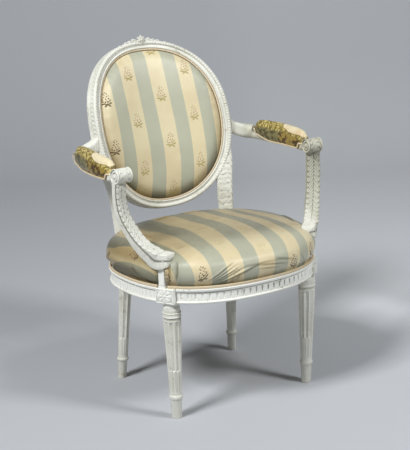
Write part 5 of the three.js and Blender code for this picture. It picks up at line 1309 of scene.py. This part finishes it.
def arm_pad():
    """The arm pad's cover: rings from the skirt over the wood's sides up to the crown, with small
    gathers along its edges."""
    line = smooth_run([[1, 0.84, 0, 4.6], [1, 0.9, 0.1, 4.4], [1.01, 1, 0.3, 3.6], [0.995, 0.98, 0.52, 3.0],
                       [0.95, 0.84, 0.75, 2.6], [0.86, 0.62, 0.9, 2.3], [0.6, 0.3, 0.98, 2.2],
                       [0.3, 0.12, 1.0, 2.2], [0.001, 0.001, 1.0, 2.2]], 80)
    line[-1, :2] = 0.001
    long, wide, rise, square = np.split(line, 4, 1)
    around = 220
    angle = full_turn(around)[None]
    points, share, aside = pad_ring(long, wide, rise, np.maximum(square, 2.0), angle)
    out = unit(points - pad_ring(0.0, 0.0, 0.4, 2.4, angle)[0] + 1e-6)
    gathers = 0.5 * np.sin(angle * 31 + rise * 5) * (1 - ease(rise, 0.3, 0.6))
    move = (0.5 * layered_noise(points, 16, 5) + gathers) * ease(rise, 0.03, 0.2)
    u = aside + np.sign(aside) * (1 - rise) * 23 * ease(np.abs(aside), 6, 16)
    v = (share - (PAD_START + PAD_END) / 2) * ARM_LENGTH
    body = Body().grid(points + out * move[..., None], cloth=np.stack([u, v], -1) / 1000)
    body.faces.append(list(range(around))[::-1])
    for piece in pair("arm_pad_cloth", body, "pad_silk", "arm_pad_cover", sharp=80):
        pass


def pad_braid():
    """The gimp round an arm pad's foot. It climbs where it passes over the arm at both ends."""
    angle = full_turn(300)
    climb = ease(np.abs(np.cos(angle)), 0.62, 0.8)[:, None]

    def edge(proud):
        """The line of the pad's foot, moved out of it."""
        return mix(pad_ring(1.005, 0.9, 0, 5, angle, -proud, 2.5)[0],
                   pad_ring(1.02, 1.02, 0.26, 4.2, angle, -proud, 2.5)[0], climb)

    line = edge(1.6)
    outward = unit(edge(2.6) - line)
    along = unit(np.roll(line, -1, 0) - np.roll(line, 1, 0))
    up = unit(np.cross(along, outward))
    pair("arm_pad_braid", braid(line, outward, up, 2.4, 4.2, True), "gimp_braid", "arm_pad_gimp")


# ---- under the seat ----

def webbing():
    """Webbing straps woven under the seat, each a thin band along its CAD strap with a little
    slack: its upper face follows the strap's highest points."""
    for kind, axis in (("lengthwise", 1), ("crosswise", 0)):
        other = 1 - axis
        for i in range(1, 5):
            node = f"seat_web_{kind}_{i}"
            corners = np.array([v.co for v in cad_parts[node].data.vertices]) * 1000 - (0, SHIFT_Y, 0)
            low, high = np.array(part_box(node)) * 1000 - (0, SHIFT_Y, 0)
            run = np.linspace(low[axis], high[axis], 160)
            keys = np.unique(corners[:, axis].round(2))
            tops = [corners[np.abs(corners[:, axis] - key) < 0.1, 2].max() for key in keys]
            width = np.linspace(low[other] + 0.3, high[other] - 0.3, 24)
            points = np.zeros((len(run), 2 * len(width), 3))
            points[..., axis] = run[:, None]
            points[..., other] = np.concatenate([width, width[::-1]])
            points[..., 2] = np.interp(run, keys, tops)[:, None] - np.repeat([0, 1.5], len(width))
            Body().grid(points, caps=True).make(f"web_strap_{kind}_{i}", "webbing", [node], sharp=50)


def hessian():
    """The hessian over the straps: a thin sheet on the seat's oval, pushed in square to each block
    where it would reach under it."""
    share = np.linspace(1, 0.001, 60)[:, None]
    rim = seat_place(rail_angles(0, 2 * math.pi, 241)[:-1], 11.6)
    plan = SEAT_CENTRE + (rim - SEAT_CENTRE)[None] * share[..., None]
    for post_of in (FRONT_POST, REAR_POST):
        for sign in (-1, 1):
            spot, out, along = (post_of[key] * (sign, 1) for key in ("centre", "out", "along"))
            half = post_of["size"] / 2 + 1
            over = half + (plan - spot) @ out
            near = (over > 0) & (np.abs((plan - spot) @ along) < half)
            plan = plan - np.where(near, over, 0)[..., None] * out
    lower = at_height(plan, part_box("seat_hessian")[0].z * 1000 + 0.1)
    body = Body().grid(np.concatenate([lower[::-1], lower + UP]))
    piece = body.make("hessian_sheet", "hessian", ["seat_hessian"])
    span = (plan.reshape(-1, 2).max(0) - plan.reshape(-1, 2).min(0)) / 1000
    float(span[0] * span[1]) * 0.84


# ---- assembly ----

make_rails()
pair("front_leg_carved", leg(FRONT_POST, (-5, 5), FRONT_LEG).join(block(FRONT_POST, True)),
     "painted_wood", "front_leg")
pair("rear_leg_and_stile", leg(REAR_POST, (14, 28), REAR_LEG).join(block(REAR_POST, False)).join(stile())
     .join(medallion_arc(SIDE_LOW, SIDE_HIGH)), "painted_wood", "rear_leg")
medallion_arc(SIDE_HIGH, math.pi - SIDE_HIGH).join(crest()).make(
    "medallion_top_carved", "painted_wood", ["medallion_top_rail"])
medallion_arc(-math.pi - SIDE_LOW, SIDE_LOW).make(
    "medallion_bottom_carved", "painted_wood", ["medallion_bottom_rail"])
pair("arm_carved", arm_wood(), "painted_wood", "arm")
pair("arm_support_carved", support(), "painted_wood", "arm_support")
seat_cloth()
back_cloth()
outside_cloth()
make_gimps()
arm_pad()
pad_braid()
webbing()
hessian()

# The look of each CAD node, by the first of these words that its name holds.
CAD_LOOKS = (("peg_", "bare_beech"), ("brace", "bare_beech"), ("stuffing", "horsehair"), ("hessian", "hessian"),
             ("web", "webbing"), ("gimp", "gimp_braid"), ("arm_pad_cover", "pad_silk"), ("cover", "striped_silk"),
             ("", "painted_wood"))
for name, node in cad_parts.items():
    node.data.materials.clear()
    node.data.materials.append(LOOKS[next(look for word, look in CAD_LOOKS if word in name)])


# ---- floor, light and camera ----

# The camera of the photograph: turn about Z, dip and roll, place in metres with the chair's own
# origin, and the lens as a focal length in pixels of a picture 450 high.
CAMERA_TURN, CAMERA_DIP, CAMERA_ROLL = math.radians(-31.37), math.radians(14.43), math.radians(-2.16)
CAMERA_PLACE = (-1.65162, (-2658.67 + SHIFT_Y) / 1000, 1.24911)
FOCAL_PIXELS, PICTURE_HEIGHT, SENSOR = 1256.64, 450, 36


def studio():
    """A pale floor that bends up into a plain backdrop: a straight run, a quarter circle and a
    straight rise, swept sideways. It is painted lighter far behind and to the camera's right, as painted light."""
    bend = np.linspace(0, math.pi / 2, 24)
    run = np.concatenate([[[-4200, 0]], np.stack([2600 + 1500 * np.sin(bend), 1500 - 1500 * np.cos(bend)], -1),
                          [[4100, 6500]]])
    side = np.linspace(-6500, 6500, 9)
    x, y, z = np.broadcast_arrays(side, run[:, :1] + SHIFT_Y, run[:, 1:])
    c, s = math.cos(CAMERA_TURN), math.sin(CAMERA_TURN)
    points = np.stack([x * c - y * s, x * s + y * c, z], -1) / 1000
    index = np.arange(x.size).reshape(x.shape)
    quads = np.stack([index[:-1, :-1], index[:-1, 1:], index[1:, 1:], index[1:, :-1]], -1).reshape(-1, 4)
    mesh = bpy.data.meshes.new("studio_sweep")
    mesh.from_pydata(points.reshape(-1, 3).tolist(), [], quads.tolist())
    mesh.polygons.foreach_set("use_smooth", np.ones(len(mesh.polygons), bool))
    f = Finish("studio_paper", (0.7, 0.7, 0.7))
    x, y, z = f.axes(f.place())
    grain = f.noise(f.place(), 2.0, 2.0)
    # Painted light: the paper's colour grows lighter towards the camera's right, and lighter again far behind and
    # low down.
    near = f.blend(f.ease(x + grain * 0.2, -1.4, 1.6), (176, 178, 182), (200, 203, 208))
    aside, ahead = x * 0.854 - y * 0.52, x * 0.52 + y * 0.854 + SHIFT_Y * -0.000854
    far = f.ease(aside, -0.05, 0.45) * f.ease(ahead, -0.1, 0.8) * f.ease(z, 0.0, 0.5, 1.0, 0.35)
    mesh.materials.append(f.dress(Base_Color=f.blend(far, near, (214, 217, 220)),
                                  Roughness=0.85, Normal=f.bump(grain, 0.0002, 0.2)))
    sweep = bpy.data.objects.new("studio_sweep", mesh)
    bpy.context.scene.collection.objects.link(sweep)


def lamp(name, place, size, watts):
    """A soft square lamp of nearly white light at a place, turned to face the seat."""
    data = bpy.data.lights.new(name, "AREA")
    data.shape, data.size, data.energy, data.color = "SQUARE", size, watts, (0.97, 0.99, 1.0)
    made = bpy.data.objects.new(name, data)
    made.location = place
    made.rotation_euler = (Vector((0, 0, 0.4)) - Vector(place)).to_track_quat("-Z", "Y").to_euler()
    bpy.context.scene.collection.objects.link(made)


def light_and_camera():
    """Soft studio lamps, a grey world, and the camera at the photograph's place and lens."""
    scene = bpy.context.scene
    world = bpy.data.worlds.new("studio_air")
    world.use_nodes = True
    air = world.node_tree.nodes["Background"].inputs
    air["Color"].default_value = (1.0, 0.985, 0.95, 1)
    air["Strength"].default_value = 0.07
    scene.world = world
    lamp("side_lamp", (-2.98, -0.95, 3.6), 1.0, 178)
    lamp("key_lamp", (1.5, -3.1, 3.7), 0.9, 114)
    scene.view_settings.view_transform = "Standard"
    forward = np.array([-math.sin(CAMERA_TURN) * math.cos(CAMERA_DIP),
                        math.cos(CAMERA_TURN) * math.cos(CAMERA_DIP), -math.sin(CAMERA_DIP)])
    right = np.array([math.cos(CAMERA_TURN), math.sin(CAMERA_TURN), 0])
    upward = np.cross(right, forward)
    rolled_right = math.cos(CAMERA_ROLL) * right + math.sin(CAMERA_ROLL) * upward
    rolled_up = -math.sin(CAMERA_ROLL) * right + math.cos(CAMERA_ROLL) * upward
    data = bpy.data.cameras.new("photo_camera")
    data.sensor_fit, data.sensor_height = "VERTICAL", SENSOR
    data.lens = FOCAL_PIXELS * SENSOR / PICTURE_HEIGHT
    data.clip_end = 60
    camera = bpy.data.objects.new("photo_camera", data)
    turn = Matrix((rolled_right, rolled_up, -forward)).transposed()
    camera.matrix_world = Matrix.Translation(CAMERA_PLACE) @ turn.to_4x4()
    scene.collection.objects.link(camera)
    scene.camera = camera


studio()
light_and_camera()
